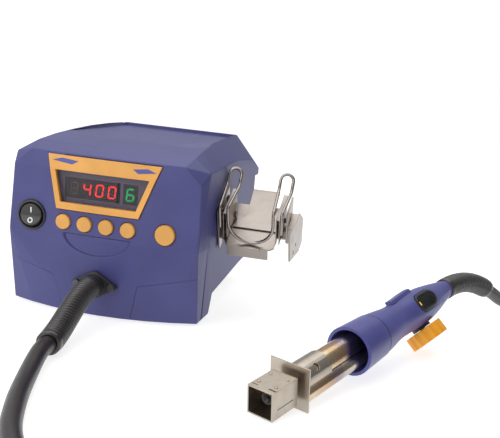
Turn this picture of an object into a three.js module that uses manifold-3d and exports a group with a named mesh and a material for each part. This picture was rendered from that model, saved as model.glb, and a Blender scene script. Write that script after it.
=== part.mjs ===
// Bench hot air station: control station, handpiece rest, handpiece and its hose.
// Millimetres, +Z up. The station stands on Z = 0, its front panel faces -Y.
import * as THREE from 'three';
import { ConvexGeometry } from 'three/addons/geometries/ConvexGeometry.js';
import * as BufferGeometryUtils from 'three/addons/utils/BufferGeometryUtils.js';
import Module from 'manifold-3d';

const wasm = await Module();
wasm.setup();

// Driving dimensions of the station
const stationWidth = 164;
const stationDepth = 221;
const stationHeight = 145;
const wall = 2.6;
const skirtGap = 2;
const fitGap = 0.3;
const overrun = 20;
const mergeTolerance = 0.0001;
const rearmostShare = 0.8;

// Underside: the side walls end above the bench behind a front foot
const archFrontShare = -0.561;
const archRiseShare = -0.489;
const archFrontHeight = 18;
const archRearHeight = 27;

// Rear: a lip overhangs the rear panel
const lipHeight = 106;
const lipInset = 16;
const rearSlant = 11;
const rearPanelInset = 24;
const panelThickness = 2;

// Top tray
const trayDepth = 3;
const trayFloorWall = 2.4;

// Front panel: display bezel and window
const bezelProud = 1.2;
const bezelDepth = 4;
const bezelBelowTop = 18.8;
const bezelHeight = 41.7;
const bezelTop = stationHeight - bezelBelowTop;
const bezelBottom = bezelTop - bezelHeight;
const bezelTopLeft = 47.3;
const bezelTopRight = 44.8;
const bezelBottomLeft = 37.8;
const bezelBottomRight = 29.6;
const bezelBand = 4.6;
const bezelTopBand = 11.5;
const bezelBottomBand = 5.6;
const windowRecess = 0.8;
const windowThickness = 1.6;

// Display modules and their board
const displayBoardThickness = 1.6;
const displayBoardSetback = 13;
const displayBoardMargin = 4;
const moduleDepth = 6;
const redModuleWidth = 44;
const greenModuleWidth = 14;
const moduleHeight = 21;
const moduleSpacing = 3;
const moduleBelowBezel = 25.7;
const moduleCentreZ = bezelTop - moduleBelowBezel;
const moduleShift = -5;

// Power switch
const switchX = -58.4;
const switchBelowBezel = 8.2;
const switchZ = bezelBottom - switchBelowBezel;
const switchBezelRadius = 12.6;
const switchBezelProud = 2;
const switchBodyRadius = 11;
const switchBodyDepth = 18;
const rockerRadius = 9.8;
const rockerPivotDepth = 1.5;
const rockerTilt = THREE.MathUtils.degToRad(7);
const rockerFaceProud = 2.4;
const rockerFaceAngle = THREE.MathUtils.degToRad(9);

// Panel buttons
const buttonPitch = 17.7;
const buttonFirstX = -31.4;
const buttonCount = 4;
const buttonsBelowBezel = 9.9;
const buttonZ = bezelBottom - buttonsBelowBezel;
const buttonRadius = 6;
const largeButtonX = 51.3;
const largeButtonRadius = 8;
const buttonProud = 1.8;
const buttonFlange = 1.2;
const buttonFlangeThickness = 1;
const buttonEdge = 0.5;
const buttonStemRadius = 2;
const buttonTravel = 1.2;
const buttonBoardHeight = 16;

// Hose, its flange and boots
const hoseRadius = 6;
const hoseX = -2.2;
const hoseZ = 28;
const flangeThickness = 3.2;
const flangeHalfWidth = 20.5;
const flangeHalfHeight = 12;
const flangeCornerRadius = 4;
const flangeCollarLength = 3.7;
const flangeScrewX = 14.4;
const flangeScrewRadius = 1.6;
const flangeScrewHeadRadius = 2.9;
const flangeScrewHeadHeight = 1.4;
const flangeScrewLength = 8;
const bootRadius = 9;
const bootGrooveRadius = 7.4;
const bootRibs = 24;
const bootRibPitch = 3.1;
const bootCollarLength = 5;
const bootDrop = 18.4;
const bootDrift = 5.5;
const bootShortening = 1.5;
const bootBendShare = 0.35;
const bootChordShare = 0.99;
const panNotchGap = 5;

// Base pan, feet and rear panel
const panHeight = 20;
const panThickness = 1.6;
const panWallHeight = 12;
const footRadius = 8;
const footTopRadius = 6.5;
const footInsetX = 30;
const footInsetY = 34;
const inletX = 42;
const inletZ = 58;
const inletWidth = 27;
const inletHeight = 20;
const inletDepth = 26;
const inletFlange = 6;
const inletFlangeThickness = 2.5;
const inletMouthDepth = 16;
const inletWall = 3;
const pinThickness = 2.2;
const fuseBelowLip = 18;
const fuseZ = lipHeight - fuseBelowLip;
const fuseRadius = 6;
const fuseCapRadius = 8;
const fuseCapLength = 5;
const fuseLength = 24;
const ventWidth = 2.6;
const ventHeight = 44;
const ventPitch = 7;
const ventCount = 9;
const ventX = -32;
const ventBelowLip = 34;
const ventZ = lipHeight - ventBelowLip;

// Blower inside the station
const blowerX = -30;
const blowerY = 22;
const blowerZ = 66;
const blowerRadius = 36;
const blowerWidth = 30;
const blowerWall = 2;
const blowerIntakeRadius = 15;
const ductWidth = 22;
const ductLength = 24;
const impellerRadius = 29;
const impellerWidth = 20;
const impellerDisc = 2;
const impellerHubRadius = 7;
const bladeCount = 14;
const bladeLength = 9;
const bladeThickness = 1.4;
const shaftRadius = 2;
const motorRadius = 17;
const motorLength = 26;
const motorBoreDepth = 18;
const impellerGap = 1;
const standTopShare = 0.8;

// Transformer, main board and vacuum pump
const transformerFromSide = 38;
const transformerX = stationWidth / 2 - transformerFromSide;
const transformerY = -48;
const transformerWidth = 50;
const transformerDepth = 42;
const transformerHeight = 44;
const transformerCore = 16;
const boardX = -26;
const boardY = -48;
const boardWidth = 84;
const boardDepth = 56;
const boardThickness = 1.6;
const boardLift = 10;
const boardLegRadius = 2.5;
const boardLegInset = 5;
const pumpX = 44;
const pumpY = 14;
const pumpRadius = 14;
const pumpLength = 44;
const pumpHeadWidth = 32;
const pumpHeadLength = 14;
const pumpSaddle = 20;

// Handpiece rest on the right side of the station. Its frame slopes up to the rear:
// Y runs along the floor from its front edge, Z stands square on it
const restPitch = THREE.MathUtils.degToRad(26);
const restEdgeY = -62;
const restEdgeZ = 64.5;
const restDepth = 61;
const restSheet = 1.5;
const restSideShare = 0.986;
const restNoseInset = 9;
const restNoseLength = 8;
const restFloorMargin = 7;
const restCornerCut = 3;
const restPlateFront = 7;
const restPlateRear = 45;
const restPlateTop = 26.5;
const restTabWidth = 8.5;
const restTabDrop = 11;
const restEarFront = 18;
const restEarTop = 25;
const restEarDrop = 10;
const restEarCut = 6;
const restLipSetback = 2;
const restLipDrop = 13;
const restLipInset = 5;
const restTongueWidth = 17;
const restTongueDrop = 4;
const restNotch = 2;
const restScrewFirstY = 20;
const restScrewSecondY = 40;
const restScrewHeight = 18;
const restScrewRadius = 2;
const wireRadius = 1.35;
const cradleHalfWidth = 18.6;
const legSpacing = 6.8;
const loopPlace = 4;
const legFootHeight = 14;
const runHeight = 33.5;
const runRear = 38;
const wireBend = 3.5;
const hairpinWidth = 10.8;
const hairpinInset = 1.9;
const hairpinPlace = 46.3;
const hairpinHeight = 39;
const hairpinSlope = THREE.MathUtils.degToRad(49);
const pivotPlace = 37;
const pivotHeight = 5;
const carrierFront = 6.8;
const carrierRear = 44.3;
const carrierHeight = 26;
const carrierHeel = 5;
const carrierHeelStart = 38;
const carrierClearance = 1;
const carrierSheet = 0.8;
const pivotScrewRadius = 2;
const pivotHeadRadius = 3.2;
const pivotHeadThickness = 1.2;
const pivotNutHeight = 2.4;
const stopPlateSheet = 1;
const stopFootFront = 24;
const stopFootRear = 40;
const stopPlateHalfWidth = 12;
const stopFacetCount = 3;
const stopFacetLength = 11.4;
const stopFacetTurn = THREE.MathUtils.degToRad(6);
const stopRollRadius = 1.6;
const outerPlateGap = 1.5;
const outerPlateSplay = THREE.MathUtils.degToRad(5);
const outerPlateFront = 8;
const outerPlateTop = 10.4;
const outerPlateTopRear = 43;
const outerPlateRear = 57;
const outerPlateShoulder = 4;
const outerPlateRearDrop = 30;
const outerPlateHeel = 46;
const outerPlateHeelDrop = 33;
const outerPlateToe = 13;
const outerPlateToeDrop = 20;
const outerPlateHoleRadius = 1.6;
const outerPlateHoleY = 24;
const outerPlateHoleDrop = 18;
const outerPlateHoleStep = 7;

// Handpiece, along its own axis from the nozzle's mouth
const nozzleWidth = 19;
const nozzleLength = 25;
const nozzleSheet = 0.9;
const neckRadius = 5.5;
const neckWall = 1;
const shieldWidth = 30;
const shieldThickness = 1;
const shieldPlace = 29.5;
const sleeveRadius = 10.7;
const sleeveEnd = 62;
const sleeveHoleRadius = 2.6;
const sleeveHolePlace = 48;
const heaterRadius = 9.5;
const heaterWall = 0.8;
const heaterStart = 34;
const heaterEnd = 137;
const pipeOffset = 3;
const sidePipeRadius = 6.2;
const sidePipeOffset = -6.6;
const coreRadius = 7.9;
const coreBore = 3;
const coreStart = 66;
const coreEnd = 118;
const collarStart = 96;
const collarEnd = 126;
const collarFrontRadius = 18;
const collarRearRadius = 16.9;
const collarWall = 2;
const bulkhead = 4;
const handleEnd = 250;
const handleWall = 2;
const handleMaxRadius = 14.6;
const handleFrontRadius = 16.4;
const waistRadius = 13.4;
const handleEndRadius = 7.7;
const waistPlace = 160;
const handleMaxPlace = 193;
const boreGap = 0.3;
const rearTaperShare = 0.72;

// Vacuum pipe with its rubber pad, rack and knob
const vacuumRadius = 2;
const vacuumBore = 1;
const vacuumStart = 12;
const vacuumEnd = 222;
const padRadius = 4.2;
const padNeckRadius = 3;
const padLength = 8;
const padPlace = 7;
const rackHeight = 2.2;
const rackWidth = 4;
const rackTeeth = 11;
const toothPitch = 2;
const toothDepth = 1;
const pinionTeeth = 9;
const pinionWidth = 5;
const knobPlace = 197;
const knobRadius = 16;
const knobThickness = 11;
const knobLobes = 14;
const knobLobeDepth = 1.5;
const knobShaftRadius = 2.5;
const seatRadius = 8;
const seatThickness = 3.2;
const seatSink = 1.4;
const knobDishDepth = 2.4;
const knobRimWidth = 4;
const knobHubRadius = 5;
const padLip = 1.2;
const sidePipeBore = 1.8;
const toothClearance = 0.15;
const toothRootShare = 0.34;
const toothTipShare = 0.14;
const sideButtonInnerY = 10.2;
const sideButtonTravel = 1.2;
const rearBootHeading = THREE.MathUtils.degToRad(52);
const rearBootSlope = THREE.MathUtils.degToRad(22);

// Window and lamp of the handpiece, and its side button
const lensPlace = 196;
const lensLength = 30;
const lensWidth = 15;
const lensBand = 2;
const lensProud = 0.6;
const lensDepth = 2.4;
const lampBoardThickness = 1.4;
const lampBoardDrop = 2.6;
const lampSize = 3;
const lampHeight = 1.5;
const lampSetback = 6;
const sideButtonStart = 163;
const sideButtonEnd = 194;
const sideButtonHeight = 6;
const sideButtonZ = 5;
const sideButtonProud = 2.6;
const sideButtonFlange = 1;

// Where the handpiece lies on the bench
const handpieceTipX = 158;
const handpieceTipY = -240;
const handpieceHeading = THREE.MathUtils.degToRad(62);
const handpieceRoll = THREE.MathUtils.degToRad(42);
const benchGap = 0.1;

const halfWidth = stationWidth / 2;
const halfDepth = stationDepth / 2;

// Materials
const finish = (color, roughness, metalness = 0) =>
  new THREE.MeshStandardMaterial({ color, roughness, metalness });
const blue = finish(0x3b3f94, 0.5);
const yellow = finish(0xe8a630, 0.5);
const black = finish(0x1b1b1d, 0.6);
const rubber = finish(0x141415, 0.85);
const smoked = finish(0x1f1d24, 0.2);
const redGlow = finish(0xc02018, 0.4);
const greenGlow = finish(0x18a050, 0.4);
const boardGreen = finish(0x1d5a34, 0.6);
const steel = finish(0xb9b5ad, 0.35, 0.9);
const zinc = finish(0x8d8f93, 0.45, 0.8);
const ceramic = finish(0xe4ddd0, 0.7);
const copper = finish(0xa8683a, 0.5, 0.4);
const amber = finish(0xf0a020, 0.4);

// Solids and shapes
function toSolid(geometry) {
  const bare = geometry.clone();
  bare.deleteAttribute('normal');
  bare.deleteAttribute('uv');
  const merged = BufferGeometryUtils.mergeVertices(bare, mergeTolerance);
  return new wasm.Manifold(new wasm.Mesh({
    numProp: 3,
    vertProperties: new Float32Array(merged.attributes.position.array),
    triVerts: new Uint32Array(merged.index.array),
  }));
}

function toGeometry(solid) {
  const mesh = solid.getMesh();
  const geometry = new THREE.BufferGeometry();
  const positions = new Float32Array(mesh.vertProperties);
  geometry.setAttribute('position', new THREE.BufferAttribute(positions, 3));
  geometry.setIndex(new THREE.BufferAttribute(new Uint32Array(mesh.triVerts), 1));
  geometry.computeVertexNormals();
  return geometry;
}

function piece(parent, name, shape, material) {
  const geometry = shape.isBufferGeometry ? shape : toGeometry(shape);
  const mesh = new THREE.Mesh(geometry, material.clone());
  mesh.name = name;
  parent.add(mesh);
  return mesh;
}

const vector = (x, y, z) => new THREE.Vector3(x, y, z);
const axisX = vector(1, 0, 0);
const axisY = vector(0, 1, 0);
const axisZ = vector(0, 0, 1);

function block(x0, x1, y0, y1, z0, z1) {
  const geometry = new THREE.BoxGeometry(x1 - x0, y1 - y0, z1 - z0);
  geometry.translate((x0 + x1) / 2, (y0 + y1) / 2, (z0 + z1) / 2);
  return toSolid(geometry);
}

// Round bar between two points
function rodGeometry(start, end, radius, sides = 24, endRadius = radius) {
  const along = end.clone().sub(start);
  const geometry = new THREE.CylinderGeometry(endRadius, radius, along.length(), sides);
  const turn = new THREE.Quaternion().setFromUnitVectors(axisY, along.clone().normalize());
  geometry.applyQuaternion(turn);
  geometry.translate((start.x + end.x) / 2, (start.y + end.y) / 2, (start.z + end.z) / 2);
  return geometry;
}
const rod = (start, end, radius, sides, endRadius) =>
  toSolid(rodGeometry(start, end, radius, sides, endRadius));

function hull(points) {
  return toSolid(new ConvexGeometry(points.map((p) => (p.isVector3 ? p : vector(...p)))));
}

// Outline in the plane of two unit axes, extruded along their cross product
function prism(outline, origin, across, up, depth, curveSegments = 8) {
  const shape = outline instanceof THREE.Shape
    ? outline
    : new THREE.Shape(outline.map(([a, b]) => new THREE.Vector2(a, b)));
  const geometry = new THREE.ExtrudeGeometry(shape, { depth, bevelEnabled: false, curveSegments });
  const matrix = new THREE.Matrix4().makeBasis(across, up, across.clone().cross(up));
  matrix.setPosition(origin);
  geometry.applyMatrix4(matrix);
  return toSolid(geometry);
}

function arcPoints(centreX, centreY, radius, from, to, steps) {
  const points = [];
  for (let i = 0; i <= steps; i += 1) {
    const angle = from + ((to - from) * i) / steps;
    points.push([centreX + radius * Math.cos(angle), centreY + radius * Math.sin(angle)]);
  }
  return points;
}

// Outline with each corner rounded by a quadratic curve
function roundedShape(points, radius) {
  const shape = new THREE.Shape();
  const count = points.length;
  points.forEach(([x, y], i) => {
    const corner = new THREE.Vector2(x, y);
    const before = new THREE.Vector2(...points[(i + count - 1) % count]);
    const after = new THREE.Vector2(...points[(i + 1) % count]);
    const entry = corner.clone().add(before.sub(corner).setLength(radius));
    const exit = corner.clone().add(after.sub(corner).setLength(radius));
    if (i === 0) shape.moveTo(entry.x, entry.y);
    else shape.lineTo(entry.x, entry.y);
    shape.quadraticCurveTo(corner.x, corner.y, exit.x, exit.y);
  });
  shape.closePath();
  return shape;
}

// Profile of [place along the axis, radius] turned about the X axis
function turned(profile, segments = 28) {
  const points = profile.map(([place, radius]) => new THREE.Vector2(radius, place));
  const geometry = new THREE.LatheGeometry(points, segments);
  geometry.rotateZ(-Math.PI / 2);
  return toSolid(geometry);
}

const joined = (solids) => solids.reduce((sum, solid) => sum.add(solid));

// Station housing: rows of the bowed front, then the side and top edges, as shares of the half
// width, the half depth and the height
const frontRowShares = [
  { z: 0.439, width: 0.954, centre: -1, corner: -0.962 },
  { z: 0.794, width: 0.929, centre: -0.985, corner: -0.946 },
  { z: 0.883, width: 0.76, centre: -0.968, corner: -0.94 },
  { z: 0.927, width: 0.793, centre: -0.8, corner: -0.785 },
];
const footRowShare = { width: 0.961, centre: -0.998, corner: -0.842 };
const bowShares = [-1, -0.75, -0.5, -0.25, 0, 0.25, 0.5, 0.75, 1];
const sideEdgeShares = [
  [0.976, -0.842, 0.855], [0.982, -0.416, 0.873], [0.987, 0, 0.886], [0.994, 0.543, 0.859],
  [0.999, 0.86, 0.807], [1, 0.986, 0.776],
];
const creaseShares = [[0.977, -0.76, 0.552], [0.977, -0.715, 0.386]];
const topEdgeShares = [
  [0.778, -0.534, 0.954], [0.766, -0.281, 0.972], [0.751, 0.054, 0.989], [0.737, 0.407, 0.997],
  [0.715, 0.833, 1],
];
const footCreaseShare = [0.979, -0.561];
const footRearShare = [1, 0.986];

function frontRowPoints(row, z, inset) {
  return bowShares.map((share) => {
    const x = share * (row.width * halfWidth - inset);
    const y = (row.centre + (row.corner - row.centre) * share * share) * halfDepth + inset;
    return vector(x, y, z);
  });
}

const footInsetShare = 3;

function housingHull(inset) {
  const points = [];
  const bottom = inset > 0 ? -overrun : skirtGap;
  points.push(...frontRowPoints(footRowShare, skirtGap, inset));
  points.push(...frontRowPoints(footRowShare, bottom, inset * footInsetShare));
  for (const row of frontRowShares) {
    points.push(...frontRowPoints(row, row.z * stationHeight - inset, inset));
  }
  const mirrored = (x, y, z) => {
    points.push(vector(x, y, z));
    points.push(vector(-x, y, z));
  };
  const rearInset = (y) => (y > rearmostShare ? inset : 0);
  for (const [x, y, z] of sideEdgeShares) {
    mirrored(x * halfWidth - inset, y * halfDepth - rearInset(y), z * stationHeight - inset / 2);
  }
  for (const [x, y, z] of creaseShares) mirrored(x * halfWidth - inset, y * halfDepth, z * stationHeight);
  for (const [x, y, z] of topEdgeShares) {
    mirrored(x * halfWidth - inset / 2, y * halfDepth - rearInset(y), z * stationHeight - inset);
  }
  mirrored(footCreaseShare[0] * halfWidth - inset, footCreaseShare[1] * halfDepth, bottom);
  mirrored(footRearShare[0] * halfWidth - inset, footRearShare[1] * halfDepth - inset, bottom);
  return hull(points);
}

const outerHull = housingHull(0);
const rearY = footRearShare[1] * halfDepth;
const rearPanelY = rearY - rearPanelInset;

// Front surface of the housing at a place on the panel
function frontSurfaceY(x, z) {
  const rows = frontRowShares.map((row) => ({ z: row.z * stationHeight, row }));
  rows.unshift({ z: 0, row: footRowShare });
  for (let i = 0; i + 1 < rows.length; i += 1) {
    if (z <= rows[i + 1].z) {
      const t = (z - rows[i].z) / (rows[i + 1].z - rows[i].z);
      const at = ({ row }) => {
        const share = x / (row.width * halfWidth);
        return (row.centre + (row.corner - row.centre) * share * share) * halfDepth;
      };
      return at(rows[i]) * (1 - t) + at(rows[i + 1]) * t;
    }
  }
  return -halfDepth;
}

const bezelOutline = (grow) => [
  [-bezelTopLeft - grow, bezelTop + grow],
  [-bezelBottomLeft - grow, bezelBottom - grow],
  [bezelBottomRight + grow, bezelBottom - grow],
  [bezelTopRight + grow, bezelTop + grow],
];
const bezelSlope = (bezelTopLeft - bezelBottomLeft) / (bezelTop - bezelBottom);
const windowTop = bezelTop - bezelTopBand;
const windowBottom = bezelBottom + bezelBottomBand;
const windowOutline = (grow) => {
  const leftAt = (z) => -bezelTopLeft + (bezelTop - z) * bezelSlope + bezelBand - grow;
  const rightSlope = (bezelTopRight - bezelBottomRight) / (bezelTop - bezelBottom);
  const rightAt = (z) => bezelTopRight - (bezelTop - z) * rightSlope - bezelBand + grow;
  return [
    [leftAt(windowTop), windowTop + grow],
    [leftAt(windowBottom), windowBottom - grow],
    [rightAt(windowBottom), windowBottom - grow],
    [rightAt(windowTop), windowTop + grow],
  ];
};

// Prism over the front panel from an outline of [x, z]
function frontPrism(outline, y0, y1) {
  return prism(outline, vector(0, y1, 0), axisX, axisZ, y1 - y0);
}

const buttonPlaces = [];
for (let i = 0; i < buttonCount; i += 1) {
  const x = buttonFirstX + i * buttonPitch;
  buttonPlaces.push({ name: `panel_button_${i + 1}`, x, radius: buttonRadius });
}
buttonPlaces.push({ name: 'panel_button_large', x: largeButtonX, radius: largeButtonRadius });

function flangeScrewPlaces() {
  return [-1, 1].map((side) => ({ x: hoseX + side * flangeScrewX, z: hoseZ }));
}

// Recess of the top tray: a floor that narrows to the front, with sloping side walls
const trayFloorShares = [[0.366, -0.317, 0.966], [0.695, 0.778, 0.999]];
const trayRimShares = [[0.537, -0.48, 0.964], [0.752, -0.56, 0.966], [0.725, 0.78, 1.006]];

function trayRecess(lower, grow) {
  const points = [];
  const mirrored = (x, y, z) => {
    points.push(vector(x, y, z));
    points.push(vector(-x, y, z));
  };
  for (const [x, y, z] of trayFloorShares) {
    const grownY = y * halfDepth + Math.sign(y) * grow;
    mirrored(x * halfWidth + grow, grownY, z * stationHeight - trayDepth - lower);
  }
  for (const [x, y, z] of trayRimShares) {
    mirrored(x * halfWidth + grow, y * halfDepth + Math.sign(y) * grow, z * stationHeight - lower);
    mirrored(x * halfWidth + grow, y * halfDepth + Math.sign(y) * grow, z * stationHeight + trayDepth);
  }
  return hull(points);
}

function housingShell() {
  const inner = housingHull(wall).subtract(trayRecess(trayFloorWall, trayFloorWall));
  let shell = outerHull.subtract(inner);
  const acrossX0 = -halfWidth - overrun;
  const span = stationWidth + 2 * overrun;
  const sideCut = (outline) => prism(outline, vector(acrossX0, 0, 0), axisY, axisZ, span);
  shell = shell.subtract(sideCut([
    [archFrontShare * halfDepth, -overrun],
    [rearY + overrun, -overrun],
    [rearY + overrun, archRearHeight],
    [archRiseShare * halfDepth, archFrontHeight],
    [archFrontShare * halfDepth, skirtGap],
  ]));
  const lip = sideCut([
    [rearPanelY + panelThickness, lipHeight],
    [rearY + overrun, lipHeight],
    [rearY + overrun, lipHeight + wall],
    [rearPanelY + panelThickness, lipHeight + wall],
  ]).intersect(outerHull);
  shell = shell.subtract(sideCut([
    [rearY - lipInset, lipHeight],
    [rearY - lipInset + rearSlant, -overrun],
    [rearY + overrun, -overrun],
    [rearY + overrun, lipHeight],
  ]));
  shell = shell.add(lip);
  shell = shell.subtract(block(
    -halfWidth + wall, halfWidth - wall, rearPanelY, rearY + overrun, -overrun, lipHeight - wall,
  ));
  shell = shell.subtract(trayRecess(0, 0));
  const cuts = [frontPrism(bezelOutline(fitGap), -halfDepth - overrun, -halfDepth + overrun)];
  const bore = (x, z, radius) => rod(
    vector(x, -halfDepth - overrun, z), vector(x, -halfDepth + overrun, z), radius,
  );
  cuts.push(bore(switchX, switchZ, switchBodyRadius + fitGap));
  for (const { x, radius } of buttonPlaces) cuts.push(bore(x, buttonZ, radius + fitGap));
  cuts.push(bore(hoseX, hoseZ, bootRadius + fitGap));
  for (const { x, z } of flangeScrewPlaces()) cuts.push(bore(x, z, flangeScrewRadius + fitGap));
  for (const { y, z } of restScrewPlaces()) {
    cuts.push(rod(
      vector(halfWidth - overrun, y, z), vector(halfWidth + overrun, y, z), restScrewRadius + fitGap,
    ));
  }
  return shell.subtract(joined(cuts));
}

// Place of a point of the rest's sloping frame in the station's frame
function onStation(y, z) {
  const across = y * Math.cos(restPitch) - z * Math.sin(restPitch);
  const up = y * Math.sin(restPitch) + z * Math.cos(restPitch);
  return { y: restEdgeY + across, z: restEdgeZ + up };
}

function restScrewPlaces() {
  return [restScrewFirstY, restScrewSecondY].map((y) => onStation(y, restScrewHeight));
}

// Plate that follows the bowed front between two depths behind the surface
function frontSkin(outline, proud, depth) {
  const front = outerHull.translate([0, -proud, 0]);
  const back = outerHull.translate([0, depth, 0]);
  return front.subtract(back).intersect(frontPrism(outline, -halfDepth - overrun, -halfDepth + overrun));
}

const station = new THREE.Group();

function addHousing() {
  piece(station, 'housing_shell', housingShell(), blue);
  const bezelFull = frontSkin(bezelOutline(0), bezelProud, bezelDepth - bezelProud);
  const opening = frontPrism(windowOutline(0), -halfDepth - overrun, -halfDepth + overrun);
  piece(station, 'display_bezel', bezelFull.subtract(opening), yellow);
  const glass = frontSkin(windowOutline(-fitGap), -windowRecess, windowRecess + windowThickness);
  piece(station, 'display_window', glass, smoked);
}

// Display board behind the window, with the digit modules on its face
function addDisplay() {
  const boardY0 = frontSurfaceY(0, moduleCentreZ) + displayBoardSetback;
  const boardY1 = boardY0 + displayBoardThickness;
  const boardHalf = bezelTopRight - displayBoardMargin;
  const board = block(-boardHalf, boardHalf, boardY0, boardY1, buttonZ - buttonBoardHeight / 2,
    bezelTop - displayBoardMargin);
  const postZ = bezelBottom + bezelBottomBand / 2;
  const postRadius = bezelBottomBand / 2 - fitGap;
  const posts = [-bezelBottomLeft, bezelBottomRight].map((edge) => {
    const x = edge - Math.sign(edge) * bezelBand;
    const postY = frontSurfaceY(Math.abs(x) + postRadius, postZ) + bezelDepth - bezelProud + fitGap;
    const postEnd = boardY0 + displayBoardThickness / 2;
    return rod(vector(x, postY, postZ), vector(x, postEnd, postZ), postRadius, 12);
  });
  const tabEnd = largeButtonX + largeButtonRadius;
  const tab = block(0, tabEnd, boardY0, boardY1,
    buttonZ - buttonBoardHeight / 2, buttonZ + buttonBoardHeight / 2);
  piece(station, 'panel_board', joined([board, tab, ...posts]), boardGreen);
  const total = redModuleWidth + moduleSpacing + greenModuleWidth;
  const left = moduleShift - total / 2;
  const moduleY1 = boardY0 - fitGap;
  const z0 = moduleCentreZ - moduleHeight / 2;
  const z1 = moduleCentreZ + moduleHeight / 2;
  const red = block(left, left + redModuleWidth, moduleY1 - moduleDepth, moduleY1, z0, z1);
  piece(station, 'red_digit_module', red, redGlow);
  const greenLeft = left + redModuleWidth + moduleSpacing;
  const green = block(greenLeft, greenLeft + greenModuleWidth, moduleY1 - moduleDepth, moduleY1, z0, z1);
  piece(station, 'green_digit_module', green, greenGlow);
}

function addPowerSwitch() {
  const faceY = frontSurfaceY(switchX, switchZ);
  const rimFront = faceY - switchBezelProud;
  const at = (y) => vector(switchX, y, switchZ);
  let body = rod(at(faceY + switchBodyDepth), at(faceY), switchBodyRadius, 32);
  const rimBack = frontSurfaceY(switchX + switchBezelRadius, switchZ) - fitGap;
  const rimTopRadius = switchBezelRadius - switchBezelProud / 2;
  body = body.add(rod(at(faceY), at(rimFront), switchBezelRadius, 32, rimTopRadius));
  body = body.subtract(outerHull.translate([0, -fitGap, 0]).subtract(
    rod(at(faceY + switchBodyDepth + overrun), at(rimBack - overrun), switchBodyRadius, 32),
  ));
  const pivotDepth = faceY + rockerPivotDepth;
  const wellEnd = pivotDepth + rockerRadius + fitGap;
  body = body.subtract(rod(at(wellEnd), at(rimFront - overrun), rockerRadius + fitGap, 28));
  piece(station, 'switch_body', body, black);

  const ball = new THREE.SphereGeometry(rockerRadius, 24, 14);
  let rocker = toSolid(ball);
  const reach = rockerRadius + overrun;
  const faceZ = reach * Math.tan(rockerFaceAngle);
  const faceMiddle = -rockerFaceProud - rockerPivotDepth;
  const wedge = prism([
    [faceMiddle, 0],
    [faceMiddle - faceZ, reach],
    [rockerRadius / 2, reach],
    [rockerRadius / 2, -reach],
    [faceMiddle - faceZ, -reach],
  ], vector(-reach, 0, 0), axisY, axisZ, 2 * reach);
  rocker = rocker.intersect(wedge);
  const mesh = piece(station, 'power_rocker', rocker, black);
  mesh.position.set(switchX, pivotDepth, switchZ);
  mesh.rotation.x = -rockerTilt;
}

function addButtons() {
  const boardFront = frontSurfaceY(0, moduleCentreZ) + displayBoardSetback;
  for (const { name, x, radius } of buttonPlaces) {
    const faceY = frontSurfaceY(x, buttonZ);
    const innerY = frontSurfaceY(Math.abs(x) + radius, buttonZ) + wall + fitGap;
    const at = (y) => vector(x, y, buttonZ);
    const frontY = faceY - buttonProud;
    const edgeY = frontY + buttonEdge;
    const rounded = rod(at(edgeY), at(frontY), radius, 20, radius - buttonEdge);
    const cap = rod(at(innerY + buttonFlangeThickness), at(edgeY), radius, 20);
    const flange = rod(at(innerY + buttonFlangeThickness), at(innerY + fitGap), radius + buttonFlange, 20);
    const stem = rod(at(boardFront - buttonTravel - fitGap), at(innerY), buttonStemRadius, 12);
    piece(station, name, joined([rounded, cap, flange, stem]), yellow);
  }
}

// Black diamond flange on the front, with its two screws
function addHoseFlange() {
  const faceY = frontSurfaceY(hoseX, hoseZ);
  const outline = roundedShape([
    [-flangeHalfWidth, 0], [0, -flangeHalfHeight], [flangeHalfWidth, 0], [0, flangeHalfHeight],
  ], flangeCornerRadius);
  const onHose = (y) => vector(hoseX, y, hoseZ);
  const plate = prism(outline, onHose(faceY + flangeThickness), axisX, axisZ, 2 * flangeThickness);
  const collarY = faceY - flangeThickness - flangeCollarLength;
  const collar = rod(onHose(collarY), onHose(faceY + wall), bootRadius, 28);
  let flange = plate.subtract(outerHull.translate([0, -fitGap, 0])).add(collar);
  flange = flange.subtract(rod(onHose(faceY - overrun), onHose(faceY + overrun), bootGrooveRadius, 28));
  flangeScrewPlaces().forEach(({ x, z }, i) => {
    const outerY = faceY - flangeThickness;
    const headY = outerY - fitGap;
    const at = (y) => vector(x, y, z);
    flange = flange.subtract(rod(at(outerY - overrun), at(faceY + overrun), flangeScrewRadius + fitGap, 12));
    const head = rod(at(headY), at(headY - flangeScrewHeadHeight), flangeScrewHeadRadius, 20);
    const shank = rod(at(headY - flangeScrewHeadHeight / 2), at(outerY + flangeScrewLength),
      flangeScrewRadius, 12);
    piece(station, `flange_screw_${i + 1}`, head.add(shank), black);
  });
  piece(station, 'hose_flange', flange, black);
  return collarY;
}

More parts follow.
